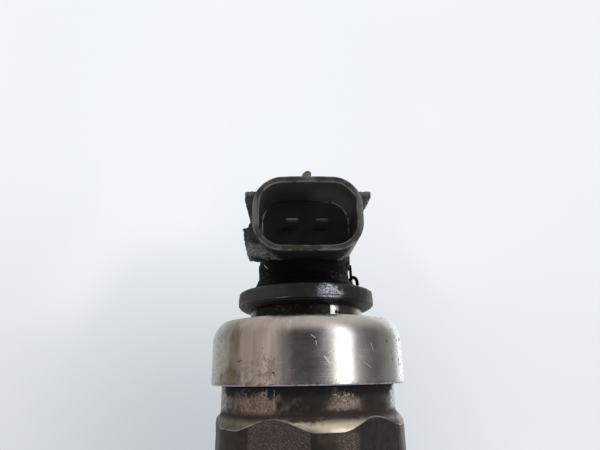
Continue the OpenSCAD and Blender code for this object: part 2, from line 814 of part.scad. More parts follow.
module connector_housing() color(plastic_black) {
    difference() {
        union() {
            shell_outside();
            connector_ribs();
            rod(plastic_neck_d / 2, base_z, shell_z - base_z + 2);
            rod(foot_r, base_z, foot_h);
            rod(spigot_r, spigot_z, base_z - spigot_z + cut);
            translate([0, latch_y, shell_top_z - 0.3]) cylinder(r = latch_r, h = latch_h + 0.3);
        }
        front_bar(
            socket_w, socket_h, shell_bottom_r - shell_wall, shell_top_r - shell_wall,
            socket_z, -mouth_y - cut, socket_floor_y
        );
        for (side = [-1, 1]) {
            translate([side * blade_pitch / 2, socket_floor_y, blade_z])
                cube([blade_w, 2 * tail_back, blade_t], center = true);
            translate([side * blade_pitch / 2, tail_y, (blade_z + spigot_z) / 2])
                cube([blade_w, blade_t, blade_z - spigot_z + blade_t], center = true);
        }
    }
}

// Each terminal is one bent strip: a blade in the socket, and a tail down to the coil's lead
module terminal_pins() color(tin) {
    tail_z = stator_top_z + 0.6 + lead_h;
    for (side = [-1, 1]) translate([side * blade_pitch / 2, 0, 0]) {
        translate([-blade_w / 2, blade_tip_y + 0.4, blade_z - blade_t / 2])
            cube([blade_w, tail_y + blade_t / 2 - blade_tip_y - 0.4, blade_t]);
        translate([-blade_w / 2 + 0.2, blade_tip_y, blade_z - blade_t / 2 + 0.1])
            cube([blade_w - 0.4, 0.5, blade_t - 0.2]);
        translate([-blade_w / 2, tail_y - blade_t / 2, tail_z])
            cube([blade_w, blade_t, blade_z + blade_t / 2 - tail_z]);
    }
}

injector_body();
body_oring();
inlet_gasket();
inlet_union();
edge_filter();
return_gasket();
return_fitting();
nozzle_nut();
nozzle_washer();
nozzle_body();
nozzle_needle();
distance_piece();
distance_pins();
pressure_pin();
nozzle_spring();
nozzle_spring_shim();
command_piston();
orifice_plate();
orifice_pins();
valve_body();
valve_nut();
valve_ball();
armature_stem();
armature_plate();
valve_spring();
valve_spring_shim();
stator_core();
coil_bobbin();
coil_winding();
coil_leads();
solenoid_shell();
solenoid_oring();
solenoid_nut();
flange_seal();
terminal_pins();
connector_housing();
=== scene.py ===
"""Looks of the fuel injector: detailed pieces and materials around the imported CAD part.

+Z runs up the injector and the connector's mouth faces -Y. Lengths are in millimetres. They become
Blender's metres only where the camera, a finished mesh, a material's bump or the floor is made.
"""
import json
import math

import bpy
import bmesh
from mathutils import Matrix, Vector, noise

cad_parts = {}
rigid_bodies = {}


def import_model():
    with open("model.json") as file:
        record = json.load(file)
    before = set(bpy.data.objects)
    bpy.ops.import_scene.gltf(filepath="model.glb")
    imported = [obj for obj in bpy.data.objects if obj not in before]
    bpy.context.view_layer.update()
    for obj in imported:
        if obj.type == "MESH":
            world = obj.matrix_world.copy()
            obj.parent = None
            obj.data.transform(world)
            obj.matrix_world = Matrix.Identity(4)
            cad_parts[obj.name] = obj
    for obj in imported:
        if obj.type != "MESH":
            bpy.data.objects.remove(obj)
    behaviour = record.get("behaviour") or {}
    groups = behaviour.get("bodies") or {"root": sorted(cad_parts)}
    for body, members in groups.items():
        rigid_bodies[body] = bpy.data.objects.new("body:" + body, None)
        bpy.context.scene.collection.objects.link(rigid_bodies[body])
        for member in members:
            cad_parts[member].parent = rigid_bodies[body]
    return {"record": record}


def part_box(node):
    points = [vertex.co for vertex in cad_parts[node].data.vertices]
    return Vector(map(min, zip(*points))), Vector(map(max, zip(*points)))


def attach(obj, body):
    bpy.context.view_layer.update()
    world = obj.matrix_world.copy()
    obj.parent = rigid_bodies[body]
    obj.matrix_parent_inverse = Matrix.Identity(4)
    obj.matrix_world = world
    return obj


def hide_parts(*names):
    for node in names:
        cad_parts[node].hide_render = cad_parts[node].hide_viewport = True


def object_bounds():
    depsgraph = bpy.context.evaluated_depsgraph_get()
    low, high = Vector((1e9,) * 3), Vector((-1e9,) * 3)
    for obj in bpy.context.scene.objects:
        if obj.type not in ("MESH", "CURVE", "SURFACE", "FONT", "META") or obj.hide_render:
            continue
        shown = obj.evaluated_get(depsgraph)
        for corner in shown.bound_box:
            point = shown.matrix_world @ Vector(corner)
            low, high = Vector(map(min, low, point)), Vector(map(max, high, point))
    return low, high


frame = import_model()
cad_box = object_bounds()

MM = 0.001
ROOT = "injector"

# ---------------------------------------------------------------- places, partly read from the frame


def low(node):
    return Vector(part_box(node)[0]) / MM


def high(node):
    return Vector(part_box(node)[1]) / MM


HEAD_Z = low("solenoid_nut").z
NUT_TOP = high("solenoid_nut").z
NUT_R = high("solenoid_nut").x
SEAL_Z = low("flange_seal").z
SEAL_TOP = high("flange_seal").z
SEAL_R = high("flange_seal").x
STEEL_NECK_R = 8.9
MOUTH_Y = low("connector_housing").y
NUB_H = 1.0
CONNECTOR_TOP = high("connector_housing").z - NUB_H
SHELL_W = 8.15
SHELL_LOW = CONNECTOR_TOP - 11.6
SOCKET_FLOOR_Y = MOUTH_Y + 7.8
SIDE_BOW = 0.12  # how far the middle of the connector's sides bulges out
PLASTIC_NECK_R = 7.35
BLADE_LOW = low("terminal_pins")
BLADE_HIGH = high("terminal_pins")
PORT_Z = (low("inlet_union").z + high("inlet_union").z) / 2
SHANK_R = high("nozzle_nut").x
BARREL_R = 12
AXIS_R = 0.1  # where the outline of a solid turned piece starts, beside the axis
CLAMP_LOW, CLAMP_HIGH = 102, 110
GROOVE_LOW, GROOVE_HIGH = 70.2, 72.8
HEX_FLAT_R = 13.5
HEX_TURNED_R = 14.1
HEX_AT = -19  # degrees from the front to the middle of the nearest flat
HEX_LOW = HEAD_Z - 20.3
HEX_TOP = HEAD_Z - 5.4
NECK_R = 13.05
NECK_FOOT = HEAD_Z - 3.8

# ---------------------------------------------------------------- camera

CAMERA_DISTANCE = 73.6
CAMERA_TURN = math.radians(-2.4)
CAMERA_PITCH = math.radians(18.45)
CAMERA_ROLL = math.radians(0.98)
CAMERA_SIDE = -0.73
CAMERA_ABOVE_NUT_EDGE = 1.3
LENS, SENSOR = 26.98, 36
NEAREST_M, FARTHEST_M = 0.005, 20


def add_camera():
    """The photograph's camera: in front of the injector, close to it and looking up at the connector."""
    data = bpy.data.cameras.new("camera")
    data.lens = LENS
    data.sensor_width = SENSOR
    data.clip_start = NEAREST_M
    data.clip_end = FARTHEST_M
    camera = bpy.data.objects.new("camera", data)
    bpy.context.collection.objects.link(camera)
    out = Vector((math.sin(CAMERA_TURN), -math.cos(CAMERA_TURN), 0))
    right = Vector((math.cos(CAMERA_TURN), math.sin(CAMERA_TURN), 0))
    place = out * CAMERA_DISTANCE + right * CAMERA_SIDE
    place.z = HEAD_Z + CAMERA_ABOVE_NUT_EDGE
    camera.matrix_world = (
        Matrix.Translation(place * MM)
        @ Matrix.Rotation(CAMERA_TURN, 4, "Z")
        @ Matrix.Rotation(math.radians(90) + CAMERA_PITCH, 4, "X")
        @ Matrix.Rotation(-CAMERA_ROLL, 4, "Z")
    )
    bpy.context.scene.camera = camera


add_camera()

# ---------------------------------------------------------------- mesh building


def fillet(points, steps=5):
    """Outline through [x, y, radius] points, with an arc of that radius at each inner corner."""
    out = []
    for i, (x, y, r) in enumerate(points):
        here = Vector((x, y))
        if r == 0 or i in (0, len(points) - 1):
            out.append(here)
            continue
        before = (Vector(points[i - 1][:2]) - here).normalized()
        after = (Vector(points[i + 1][:2]) - here).normalized()
        half = before.angle(after) / 2
        reach = r / math.tan(half)
        centre = here + (before + after).normalized() * r / math.sin(half)
        first = here + before * reach - centre
        last = here + after * reach - centre
        turn = first.angle_signed(last)
        for k in range(steps + 1):
            out.append(centre + Matrix.Rotation(-turn * k / steps, 2) @ first)
    return out


def refine(outline, step):
    """The same outline with no stretch longer than step."""
    out = [outline[0]]
    for a, b in zip(outline, outline[1:]):
        count = max(1, math.ceil((b - a).length / step))
        out += [a.lerp(b, k / count) for k in range(1, count + 1)]
    return out


def circle(count):
    """Angles of count even steps round a circle."""
    return [2 * math.pi * k / count for k in range(count)]


def soft_min(a, b, blend):
    """The smaller of two lengths, with the corner between them rounded."""
    gap = max(blend - abs(a - b), 0) / blend
    return min(a, b) - gap * gap * blend / 4


def polygon_radius(angle, flat_r, flats, turn):
    """Distance from a regular polygon's centre to its side; turn points at the middle of a side."""
    part = 2 * math.pi / flats
    off = (angle - turn + part / 2) % part - part / 2
    return flat_r / math.cos(off)


def slab_radius(offset, half_width):
    """Distance from the axis to one of two parallel flats, where offset is the part of it that faces them."""
    return half_width / max(abs(offset), 0.05)


def rough(point, size, depth):
    """Small even roughness of a cast or forged surface."""
    return depth * noise.fractal(Vector(point) / size, 0.7, 2.0, 3)


def ring_mesh(rings, closed=False):
    """Quads between rings of equal count: closed joins the last ring to the first, else both are capped."""
    bm = bmesh.new()
    rows = [[bm.verts.new(p) for p in ring] for ring in rings]
    pairs = list(zip(rows, rows[1:]))
    if closed:
        pairs.append((rows[-1], rows[0]))
    for a, b in pairs:
        for i in range(len(a)):
            j = (i + 1) % len(a)
            bm.faces.new((a[i], a[j], b[j], b[i]))
    if not closed:
        bm.faces.new(rows[0])
        bm.faces.new(rows[-1])
    bmesh.ops.recalc_face_normals(bm, faces=bm.faces)
    return bm


def roughen(bm, size, depth):
    """Moves every point along its normal by a little, as a worn moulding has it."""
    bm.normal_update()
    shifts = [(v, v.normal * rough(v.co, size, depth)) for v in bm.verts]
    for v, shift in shifts:
        v.co += shift


def add_piece(name, bm, slot, look=None, node=None, smooth=True):
    """Piece of a mesh in millimetres: slot names its material, look replaces that slot's usual look."""
    for face in bm.faces:
        face.smooth = smooth
    bm.transform(Matrix.Scale(MM, 4))
    mesh = bpy.data.meshes.new(name)
    bm.to_mesh(mesh)
    bm.free()
    mesh.materials.append(look or LOOKS[slot])
    piece = bpy.data.objects.new(name, mesh)
    bpy.context.collection.objects.link(piece)
    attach(piece, ROOT)
    if node:
        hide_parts(node)


def upright(r, angle, height):
    return (r * math.cos(angle), r * math.sin(angle), height)


def along_y(r, angle, height):
    return (r * math.cos(angle), height, PORT_Z + r * math.sin(angle))


def along_x(r, angle, height):
    return (height, r * math.cos(angle), PORT_Z + r * math.sin(angle))


def revolve(name, outline, sides=128, place=upright, reshape=None, closed=True, **kwargs):
    """Solid of revolution of [radius, height] points; reshape(r, angle, height) gives a point its radius."""
    rings = [[place(reshape(r, angle, h) if reshape else r, angle, h) for angle in circle(sides)]
             for r, h in outline]
    add_piece(name, ring_mesh(rings, closed), **kwargs)


def uneven(size, depth, inside):
    """Reshape function that roughens everything farther from the axis than inside."""
    def reshape(r, angle, z):
        return r + (rough(upright(r, angle, z), size, depth) if r > inside else 0)

    return reshape


def tube(name, points, radius, sides=10, **kwargs):
    """Round wire through a list of points."""
    rings = []
    for i, p in enumerate(points):
        ahead = points[min(i + 1, len(points) - 1)] - points[max(i - 1, 0)]
        turn = ahead.to_track_quat("Z", "Y").to_matrix()
        rings.append([p + turn @ Vector(upright(radius, angle, 0)) for angle in circle(sides)])
    add_piece(name, ring_mesh(rings), **kwargs)


def smooth_path(points, steps=8):
    """Catmull-Rom curve through a few points."""
    ends = [points[0] * 2 - points[1], *points, points[-1] * 2 - points[-2]]
    out = []
    for a, b, c, d in zip(ends, ends[1:], ends[2:], ends[3:]):
        for k in range(steps):
            t = k / steps
            out.append(0.5 * (2 * b + (c - a) * t + (2 * a - 5 * b + 4 * c - d) * t * t
                              + (3 * b - a - 3 * c + d) * t ** 3))
    return [*out, points[-1]]


def prism(name, outline, y0, y1, bevel, wear, **kwargs):
    """Bar of an [x, z] outline from y0 to y1, with rounded edges and a worn, lumpy skin."""
    longest_edge, halvings, lump = 0.22, 4, 0.6
    bm = ring_mesh([[(x, y, z) for x, z in outline] for y in (y0, y1)])
    bmesh.ops.bevel(bm, geom=bm.edges[:], offset=bevel, segments=3, profile=0.5, affect="EDGES")
    bmesh.ops.triangulate(bm, faces=bm.faces)
    for _ in range(halvings):
        long_edges = [e for e in bm.edges if e.calc_length() > longest_edge]
        if not long_edges:
            break
        bmesh.ops.subdivide_edges(bm, edges=long_edges, cuts=1)
        bmesh.ops.triangulate(bm, faces=bm.faces)
    roughen(bm, lump, wear)
    add_piece(name, bm, **kwargs)


# ---------------------------------------------------------------- nodes and materials


def set_inputs(tree, node, values):
    """Links each socket in values to the node's input of that name or number, and sets each plain value."""
    for key, value in values.items():
        if isinstance(value, bpy.types.NodeSocket):
            tree.links.new(value, node.inputs[key])
        else:
            node.inputs[key].default_value = value


def add_node(tree, kind, values, **settings):
    node = tree.nodes.new(kind)
    for key, value in settings.items():
        setattr(node, key, value)
    set_inputs(tree, node, values)
    return node


def add_math(tree, operation, a, b=0.0, c=0.0):
    return add_node(tree, "ShaderNodeMath", {0: a, 1: b, 2: c}, operation=operation).outputs[0]


def add_step(tree, value, start, end, to_start=0.0, to_end=1.0):
    """Smooth change from to_start to to_end as value goes from start to end."""
    values = {"Value": value, "From Min": start, "From Max": end, "To Min": to_start, "To Max": to_end}
    return add_node(tree, "ShaderNodeMapRange", values, interpolation_type="SMOOTHSTEP").outputs[0]


def mix_colors(tree, factor, a, b):
    return add_node(tree, "ShaderNodeMix", {0: factor, 6: a, 7: b}, data_type="RGBA").outputs[2]


class Paint:
    """A node material under construction. Its methods add nodes, and most return a mask of 0 to 1.

    Places on the surface are given in millimetres and in degrees from the front, positive towards +X.
    """

    def __init__(self, name, color, metallic=0.0, roughness=0.5, specular=0.5):
        self.material = bpy.data.materials.new(name)
        self.material.use_nodes = True
        self.tree = self.material.node_tree
        self.shader = self.tree.nodes["Principled BSDF"]
        self.color = (*color, 1)
        self.metallic = metallic
        self.roughness = roughness
        self.normal = None
        set_inputs(self.tree, self.shader, {"Base Color": self.color, "Metallic": metallic,
                                            "Roughness": roughness, "Specular IOR Level": specular})
        in_metres = self.node("ShaderNodeTexCoord", {}).outputs["Object"]
        self.where = self.node("ShaderNodeMapping", {"Vector": in_metres, "Scale": [1 / MM] * 3}).outputs[0]
        self.x, self.y, self.z = self.node("ShaderNodeSeparateXYZ", {0: self.where}).outputs
        self.turn = self.math("DEGREES", self.math("ARCTAN2", self.x, self.math("MULTIPLY", self.y, -1)))
        self.radius = self.hypot(self.x, self.y)

    def node(self, kind, values, **settings):
        return add_node(self.tree, kind, values, **settings)

    def math(self, operation, a, b=0.0, c=0.0):
        return add_math(self.tree, operation, a, b, c)

    def hypot(self, a, b):
        return self.math("SQRT", self.math("ADD", self.math("MULTIPLY", a, a), self.math("MULTIPLY", b, b)))

    def noise(self, size, detail=4.0, roughness=0.55, vector=None, warp=0.0):
        values = {"Vector": vector or self.where, "Scale": 1 / size, "Detail": detail,
                  "Roughness": roughness, "Distortion": warp}
        return self.node("ShaderNodeTexNoise", values).outputs[0]

    def streaks(self, around, up, detail=3):
        """Noise drawn out into streaks: how often it changes in a millimetre around and up the part."""
        scaled = self.node("ShaderNodeMapping", {"Vector": self.where, "Scale": (around, around, up)})
        return self.noise(1, detail, 0.6, scaled.outputs[0])

    def step(self, value, start, end, to_start=0.0, to_end=1.0):
        return add_step(self.tree, value, start, end, to_start, to_end)

    def both(self, *masks):
        out = masks[0]
        for mask in masks[1:]:
            out = self.math("MULTIPLY", out, mask)
        return out

    def either(self, *masks):
        out = masks[0]
        for mask in masks[1:]:
            out = self.math("MAXIMUM", out, mask)
        return out

    def no(self, mask):
        return self.math("SUBTRACT", 1.0, mask)

    def patchy(self, mask, noise_value, start, end):
        """The mask, kept only where a noise has passed from start to end."""
        return self.both(mask, self.step(noise_value, start, end))

    def band(self, value, start, end, soft):
        """1 where value lies between start and end, fading over soft at both sides."""
        past_start = self.step(value, start - soft, start + soft)
        return self.both(past_start, self.step(value, end + soft, end - soft))

    def from_nearest(self, degrees, count):
        """Degrees from the nearest of count even places around the axis, one of them at the angle given."""
        two_turns = 720
        return self.math("PINGPONG", self.math("ADD", self.turn, two_turns - degrees), 180 / count)

    def blot(self, degrees, wide, height, tall, ragged=0.5, size=1.2):
        """Soft-edged patch around an angle and a height, with a ragged outline."""
        fades_out, solid_within = 1.3, 0.5
        across = self.math("DIVIDE", self.math("SUBTRACT", self.turn, degrees), wide)
        up = self.math("DIVIDE", self.math("SUBTRACT", self.z, height), tall)
        edge = self.math("MULTIPLY", self.math("SUBTRACT", self.noise(size, 5), 0.5), ragged * 4)
        return self.step(self.math("ADD", self.hypot(across, up), edge), fades_out, solid_within)

    def blots(self, base, *rows):
        """Blots whose heights are above base."""
        return self.either(*[self.blot(degrees, wide, base + height, *rest)
                             for degrees, wide, height, *rest in rows])

    def strokes(self, base, radius, *rows):
        """Straight marks on a round surface: degrees and height above base at both ends, and half width."""
        return self.either(*[self.stroke(base, radius, *row) for row in rows])

    def stroke(self, base, radius, start, start_height, end, end_height, width):
        """One such mark: x runs round the surface and z up it."""
        ax, bx = math.radians(start) * radius, math.radians(end) * radius
        length = math.hypot(bx - ax, end_height - start_height)
        ux, uz = (bx - ax) / length, (end_height - start_height) / length
        dx = self.math("MULTIPLY_ADD", self.turn, math.radians(radius), -ax)
        dz = self.math("SUBTRACT", self.z, base + start_height)
        along = self.math("ADD", self.math("MULTIPLY", dx, ux), self.math("MULTIPLY", dz, uz))
        across = self.math("SUBTRACT", self.math("MULTIPLY", dx, uz), self.math("MULTIPLY", dz, ux))
        inside = self.both(self.step(along, -width, width), self.step(along, length + width, length - width))
        return self.both(inside, self.step(self.math("ABSOLUTE", across), width, width * 0.3))

    def specks(self, size, spot, share):
        """Sparse round specks: spot is a speck's share of its cell, share is how many cells have one."""
        cell = self.node("ShaderNodeTexVoronoi", {"Vector": self.where, "Scale": 1 / size, "Randomness": 1.0})
        chosen = self.node("ShaderNodeSeparateColor", {0: cell.outputs["Color"]}).outputs
        kept = self.math("LESS_THAN", chosen[0], share)
        limit = self.math("MULTIPLY", chosen[1], spot)
        edge = self.math("SUBTRACT", limit, cell.outputs["Distance"])
        return self.both(kept, self.step(edge, 0.0, 0.04))

    def hairlines(self, size, width, share, warp):
        """Fine scratches: thin stretches of a noise's middle level, kept only here and there."""
        line = self.math("ABSOLUTE", self.math("SUBTRACT", self.noise(size, 1.0, 0.3, warp=warp), 0.5))
        here = self.step(self.noise(size * 0.7, 2.0), 1 - share, 1.05 - share)
        return self.both(self.step(line, width, width * 0.3), here)

    def tint(self, mask, color, amount=1.0, metal=None, rough=None):
        """Lays a colour over the surface where mask is 1, with a metalness and a roughness if given."""
        factor = self.math("MULTIPLY", mask, amount)
        self.color = mix_colors(self.tree, factor, self.color, (*color, 1))
        if metal is not None:
            self.metallic = self.blend(mask, self.metallic, metal)
        if rough is not None:
            self.roughness = self.blend(mask, self.roughness, rough)

    def blend(self, mask, value, other):
        return self.node("ShaderNodeMix", {0: mask, 2: value, 3: other}, data_type="FLOAT").outputs[0]

    def dull(self, mask, rough):
        """Moves the roughness to a value where mask is 1, and leaves the colour."""
        self.roughness = self.blend(mask, self.roughness, rough)

    def bump(self, height, depth, strength):
        values = {"Height": height, "Distance": depth * MM, "Strength": strength}
        if self.normal:
            values["Normal"] = self.normal
        self.normal = self.node("ShaderNodeBump", values).outputs[0]

    def done(self):
        """Connects what was painted to the shader, and gives the material."""
        painted = {"Base Color": self.color, "Roughness": self.roughness, "Metallic": self.metallic,
                   "Normal": self.normal}
        for name, value in painted.items():
            if isinstance(value, bpy.types.NodeSocket):
                self.tree.links.new(value, self.shader.inputs[name])
        return self.material


OIL_BROWN = (0.085, 0.055, 0.03)
GRIME = (0.018, 0.016, 0.014)
DUST = (0.36, 0.34, 0.30)
RUST = (0.20, 0.105, 0.05)


def satin_steel():
    """Fine-turned nut: lathe rings, brown oil stains, black specks, short scratches, a painted glint and
    painted side reflections.
    """
    paint = Paint("satin_steel", (0.60, 0.585, 0.56), metallic=1.0, roughness=0.27)
    rings = paint.streaks(0.09, 14)
    cloud = paint.noise(2.5, 5)
    mottle = paint.noise(0.6, 6, 0.7)
    paint.roughness = paint.step(paint.math("MULTIPLY_ADD", cloud, 2, rings), 1.1, 2.0, 0.19, 0.29)
    paint.tint(cloud, (0.50, 0.47, 0.43), 0.5)
    film = paint.blot(-34, 34, HEAD_Z + 4, 9, 0.3, 4)
    paint.tint(film, (0.43, 0.345, 0.29), 0.5)
    dry_film = paint.patchy(paint.blot(-29, 13, HEAD_Z + 1.8, 2.2, 0.4, 1.5), mottle, 0.44, 0.60)
    paint.tint(dry_film, (0.26, 0.21, 0.17), 0.6, rough=0.5)
    runs = paint.streaks(1.5, 0.06, 4)
    dark_runs = paint.both(paint.step(runs, 0.50, 0.66), paint.step(paint.turn, 0, -17.2))
    paint.tint(dark_runs, (0.36, 0.30, 0.26), 0.35)
    pale_runs = paint.patchy(paint.step(runs, 0.48, 0.34), cloud, 0.35, 0.6)
    paint.tint(pale_runs, (0.80, 0.76, 0.74), 0.35)
    smudge = paint.patchy(paint.step(mottle, 0.50, 0.62), cloud, 0.46, 0.60)
    paint.tint(smudge, (0.38, 0.35, 0.31), 0.30)
    streak = paint.patchy(paint.blot(-45, 5, HEAD_Z + 3.4, 5.2, 0.35), cloud, 0.3, 0.6)
    puddle = paint.blot(-50, 9, HEAD_Z + 0.9, 1.5, 0.5, 1.0)
    rim = paint.both(puddle, paint.no(paint.blot(-50, 7, HEAD_Z + 0.9, 1.1, 0.5, 1.0)))
    paint.tint(streak, (0.16, 0.115, 0.072), 0.6)
    paint.tint(puddle, (0.27, 0.20, 0.13), 0.7)
    paint.tint(rim, (0.10, 0.065, 0.035), 0.6)
    paint.dull(paint.either(streak, puddle), 0.42)
    foot = paint.patchy(paint.step(paint.z, HEAD_Z + 0.7, HEAD_Z + 0.2), mottle, 0.42, 0.60)
    paint.tint(foot, (0.12, 0.09, 0.06), 0.6)
    blue_edge = paint.both(paint.band(paint.z, HEAD_Z - 0.05, HEAD_Z + 0.16, 0.05),
                           paint.step(paint.radius, NUT_R - 0.3, NUT_R - 0.15),
                           paint.step(paint.noise(3, 2), 0.45, 0.55))
    paint.tint(blue_edge, (0.46, 0.49, 0.78), 0.8)
    paint.tint(paint.blot(49, 10, HEAD_Z + 5, 6, 0.4, 3), (0.36, 0.37, 0.31), 0.5)
    broken = paint.step(mottle, 0.36, 0.52)
    # Painted reflection: near white on the right side and pale on the left side, broken up by the mottle.
    paint.tint(paint.both(paint.blot(78, 20, HEAD_Z + 4, 7, 0.3), broken), (0.95, 0.96, 0.98), 0.85)
    paint.tint(paint.both(paint.blot(-70, 18, HEAD_Z + 4.5, 6, 0.35), broken), (0.92, 0.90, 0.87), 0.7)
    grit = paint.step(paint.noise(0.3, 3, 0.7), 0.60, 0.66)
    edges = paint.blots(HEAD_Z, (66, 22, 5.5, 7, 0.3), (-76, 9, 2.5, 2.0, 0.4))
    spots = paint.either(
        paint.specks(1.7, 0.12, 0.22),
        paint.both(edges, paint.either(paint.specks(1.0, 0.34, 0.6), grit)),
        paint.strokes(
            HEAD_Z, NUT_R,
            (-26, 4.6, -25.6, 4.7, 0.09), (-29, 4.1, -28.7, 4.0, 0.09), (-45, 2.8, -44.7, 2.9, 0.09),
            (7, 2.1, 7.4, 2.2, 0.09), (-42.5, 3.1, -39, 3.25, 0.09), (-14, 2.6, -13.6, 2.6, 0.09),
        ),
    )
    paint.tint(spots, GRIME, metal=0.0, rough=0.7)
    worn_places = paint.either(paint.band(paint.turn, -11, 7, 2), paint.band(paint.turn, 31, 42, 3),
                               paint.step(paint.math("ABSOLUTE", paint.turn), 100, 130))
    worn_line = paint.both(paint.band(paint.z, NUT_TOP - 3.03, NUT_TOP - 2.97, 0.03), worn_places,
                           paint.step(paint.noise(1.2, 4), 0.36, 0.56), 0.6)
    # Scratches and hairlines; the short stroke from 9 to 10.4 degrees is a painted glint.
    marks = paint.either(
        paint.strokes(
            HEAD_Z, NUT_R,
            (5.8, 3.5, 9.2, 2.5, 0.06), (7.2, 3.4, 10, 2.8, 0.045), (9, 4.15, 10.4, 4.1, 0.09),
            (-0.7, 6.2, 1.6, 5.8, 0.06), (1.7, 5.5, 2.1, 4.9, 0.04), (27, 2.8, 32, 2.1, 0.04),
            (33, 5.2, 34, 4.3, 0.04),
        ),
        paint.hairlines(7, 0.004, 0.40, 0.6),
    )
    paint.tint(paint.either(marks, worn_line), (0.90, 0.89, 0.87), 0.65)
    paint.dull(marks, 0.5)
    paint.bump(rings, 0.0035, 0.6)
    paint.bump(paint.noise(0.25, 3), 0.003, 0.5)
    paint.bump(paint.no(marks), 0.012, 0.8)
    return paint.done()


def dark_steel():
    """Body: dark oily steel with rust, pale rubbed patches on the neck, a shot-blasted hexagon, and painted
    light and shade.
    """
    paint = Paint("dark_steel", (0.036, 0.027, 0.021), metallic=0.6, roughness=0.42)
    cloud = paint.noise(1.8, 7, 0.62)
    fine = paint.noise(0.30, 5, 0.7)
    crumbs = paint.noise(0.14, 2, 0.6)
    paint.tint(paint.step(cloud, 0.42, 0.65), (0.075, 0.055, 0.042), 0.8)
    paint.tint(paint.patchy(paint.step(fine, 0.52, 0.62), cloud, 0.5, 0.62), RUST, 0.25)

    # below a wavy edge lie the hexagon's flats and corners, above it the turned shoulder
    wave_peak, wave_reach, wave_height = -22, 23, 1.4
    off_peak = paint.math("MULTIPLY", paint.from_nearest(wave_peak, 6), math.radians(90 / wave_reach))
    wave = paint.math("POWER", paint.math("MAXIMUM", paint.math("COSINE", off_peak), 0.0), 1.5)
    above = paint.math("SUBTRACT", paint.z, paint.math("MULTIPLY_ADD", wave, wave_height, HEX_TOP))
    in_hex = paint.both(paint.step(above, 0.05, -0.05), paint.step(paint.z, HEX_LOW + 0.1, HEX_LOW + 0.2))
    flat = paint.both(in_hex, paint.step(paint.from_nearest(HEX_AT, 6), 17.4, 16.6))
    cone = paint.both(paint.step(above, -0.05, 0.05), paint.step(paint.z, NECK_FOOT + 0.2, NECK_FOOT))
    rim = paint.both(paint.band(above, -0.02, 0.10, 0.06), paint.step(paint.noise(1.3, 4), 0.36, 0.56))

    rubbed = paint.blots(HEAD_Z, (-36, 21, -2.2, 1.8, 0.6), (18.5, 10, -2.3, 2.0, 0.35),
                         (130, 40, -2.1, 1.7, 0.45), (-130, 30, -1.8, 1.6, 0.45))
    worn = paint.both(rubbed, paint.step(paint.math("MULTIPLY_ADD", cloud, 0.5, fine), 0.64, 0.90))
    paint.tint(rubbed, (0.17, 0.130, 0.100), 0.75)
    paint.tint(worn, (0.36, 0.275, 0.215), 0.85, metal=0.9, rough=0.36)
    paint.tint(paint.patchy(worn, fine, 0.55, 0.70), (0.54, 0.45, 0.38), 0.8)
    sides = paint.blots(HEAD_Z, (76, 20, -2.1, 2.8, 0.3), (-78, 19, -1.8, 2.8, 0.3))
    # Painted reflection: pale bluish metal on both sides of the neck, where they turn away from view.
    side_reflection = paint.patchy(sides, fine, 0.60, 0.46)
    paint.tint(side_reflection, (0.56, 0.58, 0.64), 0.85, metal=0.95, rough=0.3)
    bare_cone = paint.patchy(cone, cloud, 0.30, 0.55)
    paint.tint(bare_cone, (0.27, 0.235, 0.19), 0.8, metal=0.9, rough=0.38)
    # Painted highlight: the front of the turned cone, which faces up, painted bright cream.
    lit_front_cone = paint.both(cone, paint.blot(4, 35, HEX_TOP + 0.7, 1.5, 0.3), paint.step(cloud, 0.25, 0.48))
    paint.tint(lit_front_cone, (0.78, 0.70, 0.54), 0.9)
    foot_band = paint.both(paint.band(paint.z, NECK_FOOT - 0.35, NECK_FOOT + 0.4, 0.4),
                           paint.step(cloud, 0.25, 0.45))
    swoosh = paint.blots(NECK_FOOT, (20, 26, 0.3, 0.65, 0.3, 0.8), (42, 14, 0.9, 0.8, 0.35, 0.8),
                         (-4, 14, -0.1, 0.45, 0.35, 0.8))
    brown = paint.either(foot_band, swoosh)
    paint.tint(brown, (0.024, 0.011, 0.006), 0.95, metal=0.1, rough=0.65)

    far_round = paint.step(paint.math("ABSOLUTE", paint.turn), 58, 66)
    blasted = paint.both(flat, paint.either(paint.band(paint.turn, -44, 4, 3), far_round))
    corner_rub = paint.both(paint.no(flat), paint.band(paint.turn, 13, 33, 4),
                            paint.step(paint.z, HEX_TOP, HEX_TOP - 0.3))
    paint.tint(flat, (0.042, 0.040, 0.035), 0.7)
    paint.tint(blasted, (0.085, 0.064, 0.057), 0.8)
    sparkle = paint.patchy(paint.either(blasted, corner_rub), crumbs, 0.50, 0.64)
    paint.tint(sparkle, (0.32, 0.27, 0.245), 0.5)
    paint.dull(blasted, 0.52)
    paint.tint(rim, (0.62, 0.63, 0.66), 0.7, metal=1.0, rough=0.32)
    shade = paint.both(paint.band(paint.z, HEAD_Z - 1.4, HEAD_Z + 1, 0.5), paint.step(cloud, 0.25, 0.50),
                       paint.step(worn, 0.8, 0.2), paint.step(sides, 0.9, 0.3))
    paint.tint(shade, (0.006, 0.005, 0.005), 0.95, metal=0.2, rough=0.8)
    # Painted highlight: a thin pale vertical glint line on the neck.
    glint_line = paint.stroke(HEAD_Z, NECK_R, -22, -0.5, -22.3, -2.8, 0.08)
    paint.tint(paint.patchy(glint_line, fine, 0.42, 0.52), (0.62, 0.55, 0.49), 0.8)
    spots = paint.either(
        paint.specks(0.75, 0.2, 0.3),
        paint.both(sides, paint.specks(0.6, 0.45, 0.5)),
        paint.stroke(HEAD_Z, NECK_R, 50.5, -3.4, 51.8, -3.4, 0.16),
    )
    paint.tint(spots, GRIME, 0.9, metal=0.1)
    paint.bump(fine, 0.03, 0.6)
    paint.bump(paint.both(blasted, crumbs), 0.05, 0.9)
    paint.bump(worn, 0.012, 0.6)
    return paint.done()


